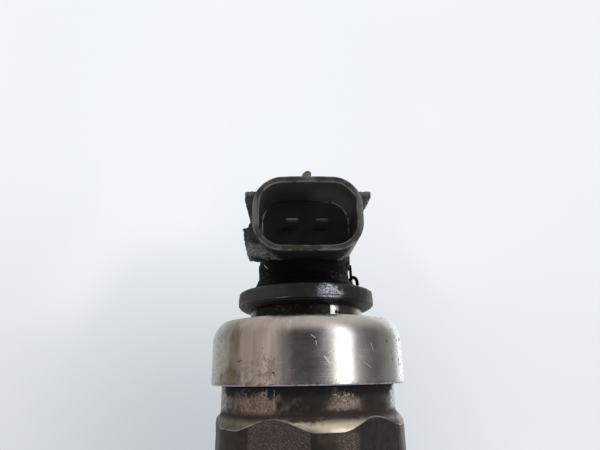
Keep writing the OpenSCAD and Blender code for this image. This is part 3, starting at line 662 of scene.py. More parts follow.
def neck_steel():
    """Steel neck under the seal: mostly black grease, with bright rubbed windows."""
    paint = Paint("neck_steel", (0.004, 0.004, 0.004), metallic=0.1, roughness=0.42, specular=0.2)
    ragged = paint.noise(0.5, 6, 0.65)
    window = paint.both(paint.band(paint.turn, 20.5, 29.5, 0.8),
                        paint.band(paint.z, NUT_TOP - 0.2, SEAL_Z - 0.15, 0.12))
    pale = paint.both(paint.band(paint.turn, 49, 88, 4), paint.step(paint.z, NUT_TOP - 0.5, NUT_TOP),
                      paint.step(ragged, 0.22, 0.40))
    olive = paint.patchy(paint.band(paint.turn, 28, 60, 4), ragged, 0.25, 0.45)
    paint.tint(olive, (0.085, 0.077, 0.064), 0.85)
    far = paint.blots(SEAL_Z, (-78, 16, -0.8, 1.4, 0.3), (165, 30, -0.8, 1.4, 0.4))
    paint.tint(paint.either(pale, far), (0.30, 0.27, 0.235), 0.9)
    paint.tint(window, (0.85, 0.84, 0.82), 0.95)
    bare = paint.either(window, pale, far)
    paint.metallic = paint.blend(bare, paint.metallic, 1.0)
    paint.dull(bare, 0.26)
    paint.tint(paint.blot(26.5, 1.7, NUT_TOP + 0.9, 0.3, 0.3, 0.4), (0.01, 0.01, 0.01))
    paint.tint(paint.both(paint.step(ragged, 0.56, 0.66), paint.no(bare)), (0.13, 0.12, 0.11), 0.6)
    paint.tint(paint.specks(0.7, 0.35, 0.35), GRIME)
    paint.bump(ragged, 0.03, 0.7)
    return paint.done()


def oily_rubber():
    """Seal ring: black rubber, wet with oil in one place under a painted highlight, dusty at its lower edge,
    with painted shade below.
    """
    paint = Paint("oily_rubber", (0.013, 0.014, 0.0125), roughness=0.44, specular=0.36)
    ragged = paint.noise(0.35, 5, 0.7)
    paint.tint(paint.step(paint.noise(2.2, 6), 0.45, 0.7), (0.026, 0.027, 0.024), 0.8)
    paint.tint(paint.step(paint.turn, -12, -50), (0.056, 0.060, 0.052), 0.7)
    middle = SEAL_Z + 0.55 * (SEAL_TOP - SEAL_Z)
    # The wet patch is glossy oil; its blue tint, the pale specks split by a dark band and the bluish halo
    # round them are a painted highlight.
    wet = paint.blot(16.5, 9.5, middle - 0.15, 1.2, 0.35, 0.6)
    paint.roughness = paint.step(wet, 0.1, 0.9, 0.46, 0.10)
    paint.tint(wet, (0.075, 0.085, 0.17), 0.85)
    highlight_specks = paint.both(wet, paint.step(paint.noise(0.22, 5, 0.7), 0.42, 0.56))
    paint.tint(highlight_specks, (0.84, 0.88, 1.0), 0.9)
    highlight_gap = paint.both(wet, paint.band(paint.z, middle - 0.62, middle - 0.38, 0.1))
    paint.tint(highlight_gap, (0.012, 0.012, 0.02), 0.85)
    paint.tint(paint.blot(24, 2.4, middle + 0.35, 0.34, 0.3, 0.4), (0.004, 0.004, 0.004))
    highlight_halo = paint.patchy(paint.blot(17, 14, middle - 0.3, 1.1, 0.5, 0.6), ragged, 0.52, 0.60)
    paint.tint(highlight_halo, (0.10, 0.105, 0.13), 0.8)
    line = paint.stroke(SEAL_Z, SEAL_R, -26, 0.74, -14, 0.78, 0.05)
    paint.tint(paint.patchy(line, ragged, 0.40, 0.50), (0.36, 0.37, 0.36), 0.8)
    dusty = paint.blots(SEAL_Z, (-72, 19, 0.25, 0.85, 0.4, 0.6), (74, 19, 0.5, 1.2, 0.4, 0.6),
                        (180, 60, 0.5, 0.8, 0.5, 0.6))
    dust = paint.patchy(dusty, ragged, 0.44, 0.60)
    paint.tint(dust, DUST, 0.8, rough=0.8)
    # Painted shade: the underside below the lip is darkened, except where dusty.
    under = paint.both(paint.step(paint.z, SEAL_Z + 0.72, SEAL_Z + 0.58), paint.no(dust))
    paint.tint(under, (0.006, 0.006, 0.006), 0.85)
    paint.bump(ragged, 0.03, 0.7)
    return paint.done()


def moulded_plastic():
    """Connector: olive-black nylon with a fine mould grain, rubbed edges, grey grime in the corners, and
    painted highlights and shade.
    """
    paint = Paint("moulded_plastic", (0.029, 0.029, 0.025), roughness=0.44, specular=0.40)
    cloud = paint.noise(3, 6)
    ragged = paint.noise(0.32, 6, 0.7)
    paint.tint(paint.step(cloud, 0.4, 0.7), (0.046, 0.045, 0.038), 0.9)
    front = paint.step(paint.y, MOUTH_Y + 0.25, MOUTH_Y + 0.05)
    paint.tint(paint.patchy(front, cloud, 0.35, 0.6), (0.043, 0.043, 0.037), 0.7)
    # Painted highlight: the right part of the front rim painted light grey.
    right_rim_highlight = paint.both(front, paint.step(paint.x, 7.0, 7.5),
                           paint.band(paint.z, SHELL_LOW + 2.6, CONNECTOR_TOP - 2.2, 1.2))
    paint.tint(right_rim_highlight, (0.15, 0.15, 0.145), 0.8)
    ribs = paint.both(paint.step(paint.math("ABSOLUTE", paint.x), 8.05, 8.3),
                      paint.step(paint.z, SHELL_LOW - 0.6, SHELL_LOW))
    not_ribs = paint.step(ribs, 0.5, 0.1)
    low_left = paint.both(ribs, paint.step(paint.x, 0, -1),
                          paint.step(paint.z, SHELL_LOW + 3.4, SHELL_LOW + 2.2))
    low_corners = paint.both(
        paint.blots(SHELL_LOW, (-68, 26, 0.5, 2.0, 0.6, 0.8), (58, 20, -0.1, 1.4, 0.5, 0.8),
                    (150, 30, 1.6, 1.8, 0.6, 1.5)),
        paint.step(paint.y, MOUTH_Y + 0.4, MOUTH_Y + 1.2),
    )
    grime = paint.either(
        paint.both(ribs, paint.step(ragged, 0.57, 0.67), 0.45),
        paint.both(low_left, paint.step(ragged, 0.50, 0.62), 0.8),
        paint.patchy(low_corners, ragged, 0.46, 0.60),
    )
    paint.tint(ribs, (0.060, 0.066, 0.068), 0.6)
    paint.tint(grime, (0.235, 0.245, 0.245), 0.72, rough=0.85)
    # Painted highlight: the tops of the ribs and a corner of the lower left rib painted light grey.
    lit_rib_tops = paint.step(paint.z, SHELL_LOW + 9.1, SHELL_LOW + 9.6)
    rib_corner_highlight = paint.blot(-66, 9, SHELL_LOW + 1.2, 1.7, 0.5, 0.8)
    paint.tint(paint.both(ribs, paint.either(lit_rib_tops, rib_corner_highlight)), (0.26, 0.27, 0.265), 0.6)
    # Painted light: the left outer side of the shell painted lighter, as it faces the light.
    lit_flank = paint.both(paint.step(paint.x, -7.25, -7.6), not_ribs,
                       paint.band(paint.z, SHELL_LOW + 3.6, CONNECTOR_TOP - 3.4, 1.2))
    paint.tint(lit_flank, (0.19, 0.205, 0.205), 0.75)
    # Painted shade: the shell's underside behind the rim painted black, except where grimy.
    under = paint.both(paint.step(paint.y, MOUTH_Y + 0.25, MOUTH_Y + 0.6), not_ribs,
                       paint.step(paint.z, SHELL_LOW + 1.1, SHELL_LOW + 0.3), paint.step(grime, 0.6, 0.1))
    paint.tint(under, (0.005, 0.005, 0.005), 1.0, rough=0.85)
    caked = paint.both(paint.blots(SHELL_LOW, (-38, 8, 0.5, 1.3, 0.5, 0.8), (45, 8, 0.1, 1.1, 0.5, 0.6)),
                       paint.step(paint.y, MOUTH_Y + 0.5, MOUTH_Y + 1.0), paint.step(ragged, 0.36, 0.54))
    paint.tint(caked, (0.30, 0.31, 0.30), 0.8)
    # Painted highlight, on rubbed edges: light grey on the rounded edges of the rim, with a low roughness.
    lip = paint.both(paint.band(paint.y, MOUTH_Y + 0.015, MOUTH_Y + 0.24, 0.03),
                     paint.step(paint.noise(1.6, 4), 0.36, 0.58))
    paint.tint(lip, (0.27, 0.27, 0.25), 0.75, rough=0.28)
    paint.tint(paint.specks(1.1, 0.14, 0.22), (0.16, 0.155, 0.14), 0.5)
    paint.bump(paint.noise(0.12, 3), 0.006, 0.6)
    paint.bump(paint.noise(0.9, 5), 0.025, 0.5)
    return paint.done()


def near_black_plastic():
    """The connector's neck: plastic darkened to near black with little shine, a few grey flecks and a painted
    glint.
    """
    paint = Paint("near_black_plastic", (0.0042, 0.0042, 0.0044), roughness=0.62, specular=0.06)
    ragged = paint.noise(0.32, 6, 0.7)
    places = paint.either(
        paint.blots(SEAL_TOP, (44, 17, 1.7, 1.5), (-60, 16, 3.4, 1.6), (160, 45, 1.2, 1.5)),
        paint.blot(58, 16, SHELL_LOW + 0.2, 1.6, 0.5, 0.8),
    )
    paint.tint(paint.patchy(places, ragged, 0.55, 0.66), (0.26, 0.255, 0.24), 0.75, rough=0.8)
    glint = paint.stroke(SEAL_TOP, PLASTIC_NECK_R, -61, 4.1, -53, 3.3, 0.09)
    paint.tint(glint, (0.75, 0.76, 0.78), 0.9)
    paint.tint(paint.specks(0.9, 0.18, 0.2), (0.12, 0.12, 0.11), 0.5)
    paint.bump(paint.noise(0.9, 5), 0.04, 0.6)
    paint.bump(ragged, 0.012, 0.6)
    return paint.done()


def socket_black():
    """Inside of the socket: clean black plastic, painted lighter on the walls and to the right as painted
    light, with a painted gleam along the edge of its floor.
    """
    paint = Paint("socket_black", (0.020, 0.0195, 0.0205), roughness=0.55, specular=0.18)
    paint.tint(paint.step(paint.noise(2.5, 5), 0.45, 0.65), (0.024, 0.023, 0.025), 0.8)
    middle = (SHELL_LOW + CONNECTOR_TOP) / 2
    walls = paint.step(paint.y, SOCKET_FLOOR_Y - 0.2, SOCKET_FLOOR_Y - 0.6)
    right = paint.step(paint.x, -0.5, 3)
    deep = paint.step(paint.y, MOUTH_Y + 0.5, SOCKET_FLOOR_Y - 1)
    upper = paint.both(walls, paint.step(paint.z, middle, middle + 2.5))
    # Painted light: the right side and the walls painted lighter, the upper walls more, the deep upper right
    # wall most.
    paint.tint(right, (0.060, 0.059, 0.062), 0.9)
    paint.tint(walls, (0.050, 0.047, 0.049), 0.8)
    paint.tint(upper, (0.075, 0.073, 0.077), 0.8)
    paint.tint(paint.both(upper, right, deep), (0.24, 0.24, 0.245), 0.85)
    from_middle = paint.math("SUBTRACT", paint.z, middle)
    round_middle = paint.math("DEGREES", paint.math("ARCTAN2", paint.x, from_middle))
    lit = paint.either(paint.band(round_middle, 38, 96, 9), paint.band(round_middle, -99, -68, 8))
    gleam = paint.both(lit, paint.band(paint.y, SOCKET_FLOOR_Y - 0.26, SOCKET_FLOOR_Y - 0.14, 0.04),
                       paint.step(paint.noise(0.8, 3), 0.34, 0.56))
    paint.tint(gleam, (0.58, 0.59, 0.59), 0.9)
    paint.bump(paint.noise(0.12, 3), 0.005, 0.5)
    return paint.done()


def tinned_metal():
    """Blades: tin, bright on the tips; the lower sides are painted dark as painted shade, and the right blade
    is dull.
    """
    paint = Paint("tinned_metal", (0.80, 0.78, 0.72), metallic=1.0, roughness=0.26)
    paint.tint(paint.step(paint.noise(0.6, 5), 0.5, 0.65), (0.42, 0.36, 0.28), 0.7, rough=0.45)
    paint.tint(paint.step(paint.x, -0.5, 0.5), (0.13, 0.11, 0.09), 0.9)
    # Painted shade: the lower sides of the blades painted dark.
    shaded_low_side = paint.step(paint.z, BLADE_HIGH.z - 0.26, BLADE_HIGH.z - 0.34)
    paint.tint(shaded_low_side, (0.070, 0.068, 0.072), 1.0, metal=0.0, rough=0.7)
    paint.bump(paint.noise(0.15, 3), 0.004, 0.5)
    return paint.done()


def plated_steel():
    """Unions and fittings: dull plating with brown oil in the corners and bright rubbed places."""
    paint = Paint("plated_steel", (0.46, 0.44, 0.39), metallic=0.95, roughness=0.36)
    cloud = paint.noise(2.5, 7, 0.6)
    paint.tint(paint.step(cloud, 0.42, 0.68), (0.26, 0.23, 0.18), 0.75)
    paint.dull(paint.step(cloud, 0.45, 0.7), 0.55)
    paint.tint(paint.both(paint.step(paint.noise(0.7, 6), 0.55, 0.66), cloud), OIL_BROWN, 0.7)
    paint.tint(paint.specks(1.0, 0.22, 0.3), GRIME, 0.8)
    paint.bump(paint.noise(0.3, 4), 0.012, 0.6)
    return paint.done()


def nozzle_steel():
    """Nozzle end: turned steel with heat tint, and soot that thickens towards the tip."""
    paint = Paint("nozzle_steel", (0.30, 0.275, 0.25), metallic=0.9, roughness=0.38)
    tip = low("nozzle_body").z
    cloud = paint.noise(3, 7, 0.6)
    paint.tint(paint.step(cloud, 0.3, 0.75), (0.20, 0.175, 0.15), 0.7)
    paint.tint(paint.both(paint.step(paint.z, 22, 2), cloud), (0.25, 0.15, 0.08), 0.7)
    ragged_height = paint.math("MULTIPLY_ADD", paint.noise(1.6, 6), 9, paint.z)
    soot = paint.step(ragged_height, tip + 15, tip + 7)
    paint.tint(soot, (0.014, 0.013, 0.012), 0.95, metal=0.0, rough=0.85)
    paint.tint(paint.specks(1.2, 0.2, 0.3), GRIME, 0.8)
    paint.bump(paint.streaks(0.16, 9), 0.008, 0.5)
    paint.bump(paint.noise(0.25, 5), 0.02, 0.6)
    return paint.done()


def ground_steel():
    """Inner precision parts: bright ground steel with the grinding wheel's fine rings."""
    paint = Paint("ground_steel", (0.66, 0.66, 0.65), metallic=1.0, roughness=0.2)
    rings = paint.streaks(0.3, 12)
    paint.roughness = paint.step(rings, 0.3, 0.7, 0.16, 0.30)
    paint.tint(paint.step(paint.noise(2, 5), 0.5, 0.7), (0.48, 0.45, 0.40), 0.5)
    paint.bump(rings, 0.003, 0.5)
    return paint.done()


def soft_iron():
    paint = Paint("soft_iron", (0.36, 0.36, 0.37), metallic=0.9, roughness=0.42)
    rings = paint.streaks(0.3, 9)
    paint.tint(rings, (0.25, 0.245, 0.24), 0.6)
    paint.bump(rings, 0.008, 0.6)
    return paint.done()


def copper_metal():
    paint = Paint("copper_metal", (0.62, 0.30, 0.17), metallic=1.0, roughness=0.34)
    paint.tint(paint.step(paint.noise(1.4, 6), 0.45, 0.65), (0.24, 0.12, 0.07), 0.8, rough=0.55)
    paint.bump(paint.noise(0.3, 4), 0.01, 0.6)
    return paint.done()


def wire_steel():
    paint = Paint("wire_steel", (0.33, 0.34, 0.36), metallic=1.0, roughness=0.3)
    paint.tint(paint.step(paint.noise(1, 5), 0.5, 0.7), (0.16, 0.13, 0.10), 0.6)
    paint.bump(paint.noise(0.2, 3), 0.006, 0.6)
    return paint.done()


def brass_metal():
    paint = Paint("brass_metal", (0.62, 0.47, 0.20), metallic=1.0, roughness=0.3)
    paint.tint(paint.step(paint.noise(1.5, 5), 0.45, 0.7), (0.36, 0.25, 0.11), 0.7)
    paint.bump(paint.noise(0.3, 4), 0.01, 0.5)
    return paint.done()


def bobbin_plastic():
    paint = Paint("bobbin_plastic", (0.10, 0.19, 0.13), roughness=0.5)
    paint.tint(paint.noise(1.5, 5), (0.13, 0.23, 0.16), 0.6)
    paint.bump(paint.noise(0.15, 3), 0.006, 0.6)
    return paint.done()


LOOKS = {
    "dark_steel": dark_steel(),
    "satin_steel": satin_steel(),
    "neck_steel": neck_steel(),
    "nozzle_steel": nozzle_steel(),
    "plated_steel": plated_steel(),
    "ground_steel": ground_steel(),
    "spring_steel": wire_steel(),
    "soft_iron": soft_iron(),
    "copper": copper_metal(),
    "brass": brass_metal(),
    "tinned": tinned_metal(),
    "rubber": oily_rubber(),
    "connector_plastic": moulded_plastic(),
    "bobbin_plastic": bobbin_plastic(),
}
NEAR_BLACK_PLASTIC = near_black_plastic()
SOCKET_BLACK = socket_black()


def dress_cad_nodes():
    """Gives every CAD node the look of its material slot."""
    for part in frame["record"]["subparts"]:
        node = bpy.data.objects[part["node"]]
        look = LOOKS[part["material_slot"]]
        if not node.material_slots:
            node.data.materials.append(look)
        for slot in node.material_slots:
            slot.material = look


dress_cad_nodes()

# ---------------------------------------------------------------- head


def build_nut():
    """Cap nut, whose shoulder is an arc from the worn line up to its top."""
    bore_r = 9.1
    thread_r = 12.6
    ceiling = NUT_TOP - 2
    shoulder_r = 3.9
    shoulder_turn = math.radians(50)
    line_z = NUT_TOP - shoulder_r * math.sin(shoulder_turn)
    outline = fillet([
        (thread_r, HEAD_Z + 0.5, 0),
        (thread_r + 0.45, HEAD_Z, 0),
        (NUT_R - 0.12, HEAD_Z, 0.04),
        (NUT_R, HEAD_Z + 0.14, 0.08),
        (NUT_R, line_z - 0.5, 0),
    ])
    steps = 14
    shoulder = [(NUT_R - shoulder_r * (1 - math.cos(turn)), line_z + shoulder_r * math.sin(turn))
                for turn in (shoulder_turn * i / steps for i in range(steps + 1))]
    outline += [Vector(point) for point in shoulder[:-2]]
    outline += fillet([
        (*shoulder[-2], 0),
        (shoulder[-1][0], NUT_TOP, 0.22),
        (bore_r, NUT_TOP, 0.25),
        (bore_r, ceiling, 0),
        (thread_r, ceiling, 0),
        (thread_r, HEAD_Z + 1, 0),
    ])
    revolve("cap_nut", refine(outline, 0.6), 256, node="solenoid_nut", slot="satin_steel")


def body_outline():
    """The body's turned outline from the bottom up, before flats are cut into it."""
    shank_foot = high("nozzle_nut").z + 0.3
    bottom = low("injector_body").z
    top = high("injector_body").z
    spigot_r, groove_r, rim_r = 7.95, SHANK_R - 1.5, 12.4
    steps = 10
    shoulder = [(NECK_R + (HEX_TURNED_R - NECK_R) * math.cos(i * math.pi / 2 / steps),
                 HEX_TOP + (NECK_FOOT - HEX_TOP) * i / steps, 0) for i in range(steps + 1)]
    return fillet([
        (AXIS_R, bottom, 0),
        (7.4, bottom, 0),
        (spigot_r, bottom + 0.6, 0),
        (spigot_r, shank_foot, 0),
        (SHANK_R, shank_foot, 0.4),
        (SHANK_R, GROOVE_LOW, 0.15),
        (groove_r, GROOVE_LOW, 0.15),
        (groove_r, GROOVE_HIGH, 0.15),
        (SHANK_R, GROOVE_HIGH, 0.15),
        (SHANK_R, 92, 1),
        (11, 95, 0.5),
        (BARREL_R, 96, 0.6),
        (BARREL_R, HEX_LOW - 1, 1),
        (12.5, HEX_LOW, 0.05),
        (HEX_TURNED_R - 1, HEX_LOW, 0.25),
        (HEX_TURNED_R, HEX_LOW + 1, 0.5),
        *shoulder,
        (NECK_R, HEAD_Z - 0.12, 0.06),
        (rim_r, HEAD_Z - 0.05, 0),
        (rim_r, top, 0.3),
        (AXIS_R, top, 0),
    ])


def body_radius(r, angle, z):
    """The body's own radius: hexagon flats above, clamp flats on the barrel, forged roughness all over."""
    turned_depth, blasted_depth, clamp_half_width = 0.012, 0.05, 9.5
    point = upright(r, angle, z)
    depth = turned_depth
    if HEX_LOW - 0.01 <= z <= HEAD_Z - 2.5:
        flat = polygon_radius(angle, HEX_FLAT_R, 6, math.radians(HEX_AT - 90))
        if flat < r:
            depth = blasted_depth
        r = soft_min(r, flat, 0.28)
    elif CLAMP_LOW <= z <= CLAMP_HIGH:
        r = soft_min(r, slab_radius(math.cos(angle), clamp_half_width), 0.2)
    return r + rough(point, 0.9, depth)


def build_body():
    """Body in fine rings where the photograph shows it, with sharp steps at both ends of the clamp flats."""
    fine_from, fine, coarse, half_step = HEAD_Z - 21, 0.16, 0.9, 0.02
    outline = body_outline()
    lower = refine([p for p in outline if p.y < fine_from], coarse)
    ends = [Vector((BARREL_R, z + side * half_step)) for z in (CLAMP_LOW, CLAMP_HIGH) for side in (-1, 1)]
    barrel = sorted([p for p in lower if on_barrel(p)] + ends, key=lambda p: p.y)
    below = [p for p in lower if p.y < barrel[0].y and not on_barrel(p)]
    above = [p for p in lower if p.y >= barrel[0].y and not on_barrel(p)]
    upper = refine([p for p in outline if p.y >= fine_from], fine)
    revolve("body", below + barrel + above + upper, 640, reshape=body_radius, closed=False,
            node="injector_body", slot="dark_steel")


def on_barrel(point):
    return abs(point.x - BARREL_R) < 0.01


def build_bosses():
    """Forged bosses that flare out of the body to the flat faces under both gaskets."""
    inlet_face = low("inlet_gasket").y
    return_face = low("return_gasket").x

    def forged(r, angle, height):
        return r + rough((r * math.cos(angle), height, r * math.sin(angle)), 0.9, 0.015)

    for name, place, boss_r, face, edge, sides in (("inlet_boss", along_y, 9, inlet_face, 0.7, 160),
                                                   ("return_boss", along_x, 6, return_face, 0.5, 128)):
        outline = refine(fillet([(0.2, 6, 0), (boss_r + 0.6, 6, 0), (boss_r, 12.2, 1.5),
                                 (boss_r, face, edge), (0.2, face, 0)]), 0.5)
        revolve(name, outline, sides, place, forged, False, slot="dark_steel")


def build_solenoid_neck():
    """Shell of the solenoid: a skirt and flange inside the nut, and the neck that shows under the seal."""
    bottom = low("solenoid_shell").z
    top = high("solenoid_shell").z
    step = HEAD_Z + 4.5
    flange = HEAD_Z + 6.9
    flange_r, skirt_r, bore_r = 12.3, 9.4, 6.65
    outline = refine(fillet([
        (8.2, bottom, 0), (skirt_r, bottom, 0.1), (skirt_r, step, 0), (flange_r, step, 0.1),
        (flange_r, flange, 0.3), (STEEL_NECK_R, flange, 0.3), (STEEL_NECK_R, top, 0.15),
        (bore_r, top, 0), (bore_r, flange, 0),
    ]), 0.4)
    revolve("solenoid_neck", outline, 200, reshape=uneven(0.8, 0.05, 8.5), node="solenoid_shell",
            slot="neck_steel")


def build_seal():
    """Flange seal: a small lip under a rounded rim, stepped to sit on the steel neck."""
    bore_r = 6.7
    step = SEAL_Z + 1.1
    outline = refine(fillet([
        (STEEL_NECK_R, SEAL_Z, 0),
        (SEAL_R - 0.95, SEAL_Z, 0.15),
        (SEAL_R - 0.25, SEAL_Z + 0.40, 0.15),
        (SEAL_R - 0.20, SEAL_Z + 0.58, 0.05),
        (SEAL_R - 0.04, SEAL_Z + 0.66, 0.1),
        (SEAL_R, SEAL_Z + 1.4, 0.6),
        (SEAL_R - 0.05, SEAL_TOP, 0.45),
        (bore_r, SEAL_TOP, 0),
        (bore_r, step, 0),
        (STEEL_NECK_R, step, 0),
    ]), 0.22)
    revolve("seal_ring", outline, 288, reshape=uneven(1.3, 0.06, 9.2), node="flange_seal", slot="rubber")


# ---------------------------------------------------------------- connector


def front_loop(half_w, bottom, top, low_r, high_r, low_bow, high_bow, y):
    """Rounded rectangle seen from the front, whose edges bow outwards."""
    corner_steps, edge_steps = 12, 14
    corners = [
        (half_w - high_r, top - high_r, high_r, 0), (-half_w + high_r, top - high_r, high_r, 90),
        (-half_w + low_r, bottom + low_r, low_r, 180), (half_w - low_r, bottom + low_r, low_r, 270),
    ]
    points = []

    def on_corner(centre_x, centre_z, r, degrees):
        angle = math.radians(degrees)
        return Vector((centre_x + r * math.cos(angle), y, centre_z + r * math.sin(angle)))

    for (*centre, r, start), following in zip(corners, corners[1:] + corners[:1]):
        points += [on_corner(*centre, r, start + 90 * k / corner_steps) for k in range(corner_steps + 1)]
        last, target = points[-1], on_corner(*following)
        points += [last.lerp(target, k / edge_steps) for k in range(1, edge_steps)]
    middle = (top + bottom) / 2
    for p in points:
        across = p.x / half_w
        up = (p.z - middle) / ((top - bottom) / 2)
        p.z += (high_bow if up > 0 else low_bow) * (1 - across ** 2) * up
        p.x += SIDE_BOW * (1 - up ** 2) * across
    return points


def build_shell():
    """Socket shell: outside and rim as one skin, and a thin black lining inside."""
    wall = 1.0
    floor_wall = 0.85
    low_bow, high_bow = 0.12, 0.35
    inner_low_bow, inner_high_bow = 0.22, 0.30
    corner_r = 3.1

    def outer(y, inset=0.0):
        return front_loop(SHELL_W - SIDE_BOW - inset, SHELL_LOW + low_bow + inset,
                          CONNECTOR_TOP - high_bow - inset, 4.2 - inset, 4.1 - inset, low_bow, high_bow, y)

    def inner(y, inset=0.0, corner=corner_r):
        return front_loop(SHELL_W - SIDE_BOW - wall - inset, SHELL_LOW + inner_low_bow + floor_wall + inset,
                          CONNECTOR_TOP - inner_high_bow - wall - inset, corner, corner,
                          inner_low_bow, inner_high_bow, y)

    back = [(4.6, 1.6), (4.2, 0.9), (3.4, 0.35), (2.4, 0.08), (1.6, 0.0)]
    rings = [outer(y, inset) for y, inset in back]
    rings += [outer(MOUTH_Y + d) for d in (9, 6, 3, 1.6, 0.9)]
    rim = [(0.30, 0.0), (0.16, 0.03), (0.06, 0.10), (0.0, 0.22)]
    rings += [outer(MOUTH_Y + y, inset) for y, inset in rim]
    lip = [(0.0, -0.20), (0.05, -0.09), (0.14, -0.03), (0.28, 0.0), (0.5, -0.1)]
    rings += [inner(MOUTH_Y + y, inset) for y, inset in lip]
    rings += [inner(MOUTH_Y + d, -0.1) for d in (2, 5, 7)]
    rings.append(inner(SOCKET_FLOOR_Y + 0.2, -0.1))
    skin = ring_mesh(rings)
    roughen(skin, 1.6, 0.03)
    add_piece("connector_shell", skin, node="connector_housing", slot="connector_plastic")

    rings = [inner(SOCKET_FLOOR_Y + 0.15, -0.04)]
    rings += [inner(MOUTH_Y + d, -0.04) for d in (7, 5, 2, 0.6)]
    lining = [(0.45, -0.02), (0.36, 0.01), (0.42, 0.035), (0.6, 0.04)]
    rings += [inner(MOUTH_Y + y, inset) for y, inset in lining]
    rings += [inner(MOUTH_Y + d, 0.04 + 0.006 * d) for d in (1, 2.5, 4.5, 6.2, 6.9)]
    floor = [(0.30, 0.09), (0.24, 0.10), (0.18, 0.22), (0.12, 0.24), (0.05, 0.30), (0.0, 0.50)]
    rings += [inner(SOCKET_FLOOR_Y - y, inset, corner_r + 0.3 * inset) for y, inset in floor]
    add_piece("socket_lining", ring_mesh(rings), slot="connector_plastic", look=SOCKET_BLACK)


def build_column():
    """Plastic neck with its base collar, and the half-round back of the shell."""
    neck_top = SHELL_LOW + 0.45
    outline = refine(fillet([
        (AXIS_R, SEAL_TOP, 0),
        (8.35, SEAL_TOP, 0.1),
        (8.45, SEAL_TOP + 0.7, 0.3),
        (PLASTIC_NECK_R + 0.35, SEAL_TOP + 1.6, 0.4),
        (PLASTIC_NECK_R, SEAL_TOP + 2.3, 0.3),
        (PLASTIC_NECK_R, neck_top, 0.1),
        (AXIS_R, neck_top, 0),
    ]), 0.3)
    lumpy = uneven(1.0, 0.08, 1)

    def leaning(r, angle, z):
        """Upright, but the neck stands a little to the left of its collar."""
        offset, shift_from, shift_over = 0.3, SEAL_TOP + 0.8, 1.2
        x, y, z = upright(r, angle, z)
        shift = min(max((z - shift_from) / shift_over, 0), 1)
        return (x - offset * shift, y, z)

    revolve("connector_column", outline, 160, leaning, lumpy, False, slot="connector_plastic",
            look=NEAR_BLACK_PLASTIC)
    back_r, front_reach = 7.5, 2.5
    back = refine(fillet([
        (AXIS_R, SHELL_LOW - 0.2, 0),
        (back_r, SHELL_LOW - 0.2, 0.2),
        (back_r, CONNECTOR_TOP - 0.45, 2.2),
        (AXIS_R, CONNECTOR_TOP - 0.4, 0),
    ]), 0.35)

    def rear_half(r, angle, z):
        front = -math.sin(angle)
        r = lumpy(r, angle, z)
        return min(r, front_reach / front) if front > 0.2 else r

    revolve("connector_back", back, 160, reshape=rear_half, closed=False, slot="connector_plastic")


def build_ribs():
    """Ragged ribs on both sides of the shell, drawn from its corner as [out, up] points."""
    side = SHELL_W - 0.3
    front, back, bevel = MOUTH_Y + 2.2, MOUTH_Y + 7.2, 0.16
    ribs = [
        ("rib_right", 1, 0.11,
         [(-1.2, 10.0), (1.98, 9.9), (2.0, 9.0), (1.6, 8.7), (0.75, 6.9), (0, 6.4)]),
        ("rib_left_upper", -1, 0.13,
         [(-1.2, 10.0), (1.6, 9.95), (1.6, 8.9), (1.0, 6.6), (0.65, 5.1), (0, 4.9)]),
        ("rib_left_lower", -1, 0.22,
         [(-0.6, 5.0), (0.8, 4.9), (1.1, 4.2), (1.65, 3.9), (1.62, 2.7), (1.0, 0.3), (-0.1, 0.05),
          (-2.0, 0.3)]),
    ]
    for name, mirror, wear, outline in ribs:
        points = [(mirror * (side + x), SHELL_LOW + z) for x, z in outline]
        prism(name, points, front, back, bevel, wear, slot="connector_plastic")


def build_lock_nub():
    """Small flat-topped nub on the front of the shell's top: one side sloped, the other upright."""
    foot = CONNECTOR_TOP - 0.5
    top = CONNECTOR_TOP + NUB_H - 0.15
    points = [(-0.93, foot), (0.57, foot), (0.60, top - 0.35), (0.38, top),
              (-0.15, top), (-0.60, top - 0.35), (-0.80, top - 0.62)]
    prism("lock_nub", points, MOUTH_Y + 0.15, MOUTH_Y + 1.4, 0.13, 0.05, slot="connector_plastic")


def build_wire_clip():
    """Thin bar that stands free beside the neck, and a hook over the base collar."""
    x, hook_y = 7.55, -0.6
    bar = [(0, SHELL_LOW + 0.6), (0.05, SHELL_LOW - 0.8), (0.08, SEAL_TOP + 1.9), (0, SEAL_TOP + 0.9)]
    hook = [(-0.3, 2.2), (0.3, 2.65), (0.8, 2.35), (0.98, 1.5), (0.95, 0.1)]
    bar_path = smooth_path([Vector((x + out, 0, z)) for out, z in bar])
    hook_path = smooth_path([Vector((x + out, hook_y, SEAL_TOP + up)) for out, up in hook])
    for name, path, radius in (("neck_bar", bar_path, 0.23), ("neck_hook", hook_path, 0.28)):
        tube(name, path, radius, slot="connector_plastic", look=NEAR_BLACK_PLASTIC)


def build_terminals():
    """Two flat blades with chamfered tips; their tails run down inside the plastic."""
    half_w = 0.95
    half_t = 0.32
    pitch = BLADE_HIGH.x - half_w
    blade_z = BLADE_HIGH.z - half_t
    stations = [(0.0, 0.90, 0.30), (0.08, 0.96, 0.45), (0.40, 1.0, 0.92), (0.55, 1.0, 1.0), (9.0, 1.0, 1.0)]
    rings = []
    for reach, wide, thick in stations:
        y = BLADE_LOW.y + reach
        w, t = half_w * wide, half_t * thick
        corner = min(0.08, t * 0.5)
        loop = [(w - corner, t), (w, t - corner), (w, corner - t), (w - corner, -t),
                (corner - w, -t), (-w, corner - t), (-w, t - corner), (corner - w, t)]
        rings.append([Vector((x, y, blade_z + z)) for x, z in loop])
    for name, side in (("blade_left", -1), ("blade_right", 1)):
        moved = [[p + Vector((side * pitch, 0, 0)) for p in ring] for ring in rings]
        node = "terminal_pins" if side < 0 else None
        add_piece(name, ring_mesh(moved), node=node, slot="tinned", smooth=False)


# ---------------------------------------------------------------- ports and nozzle


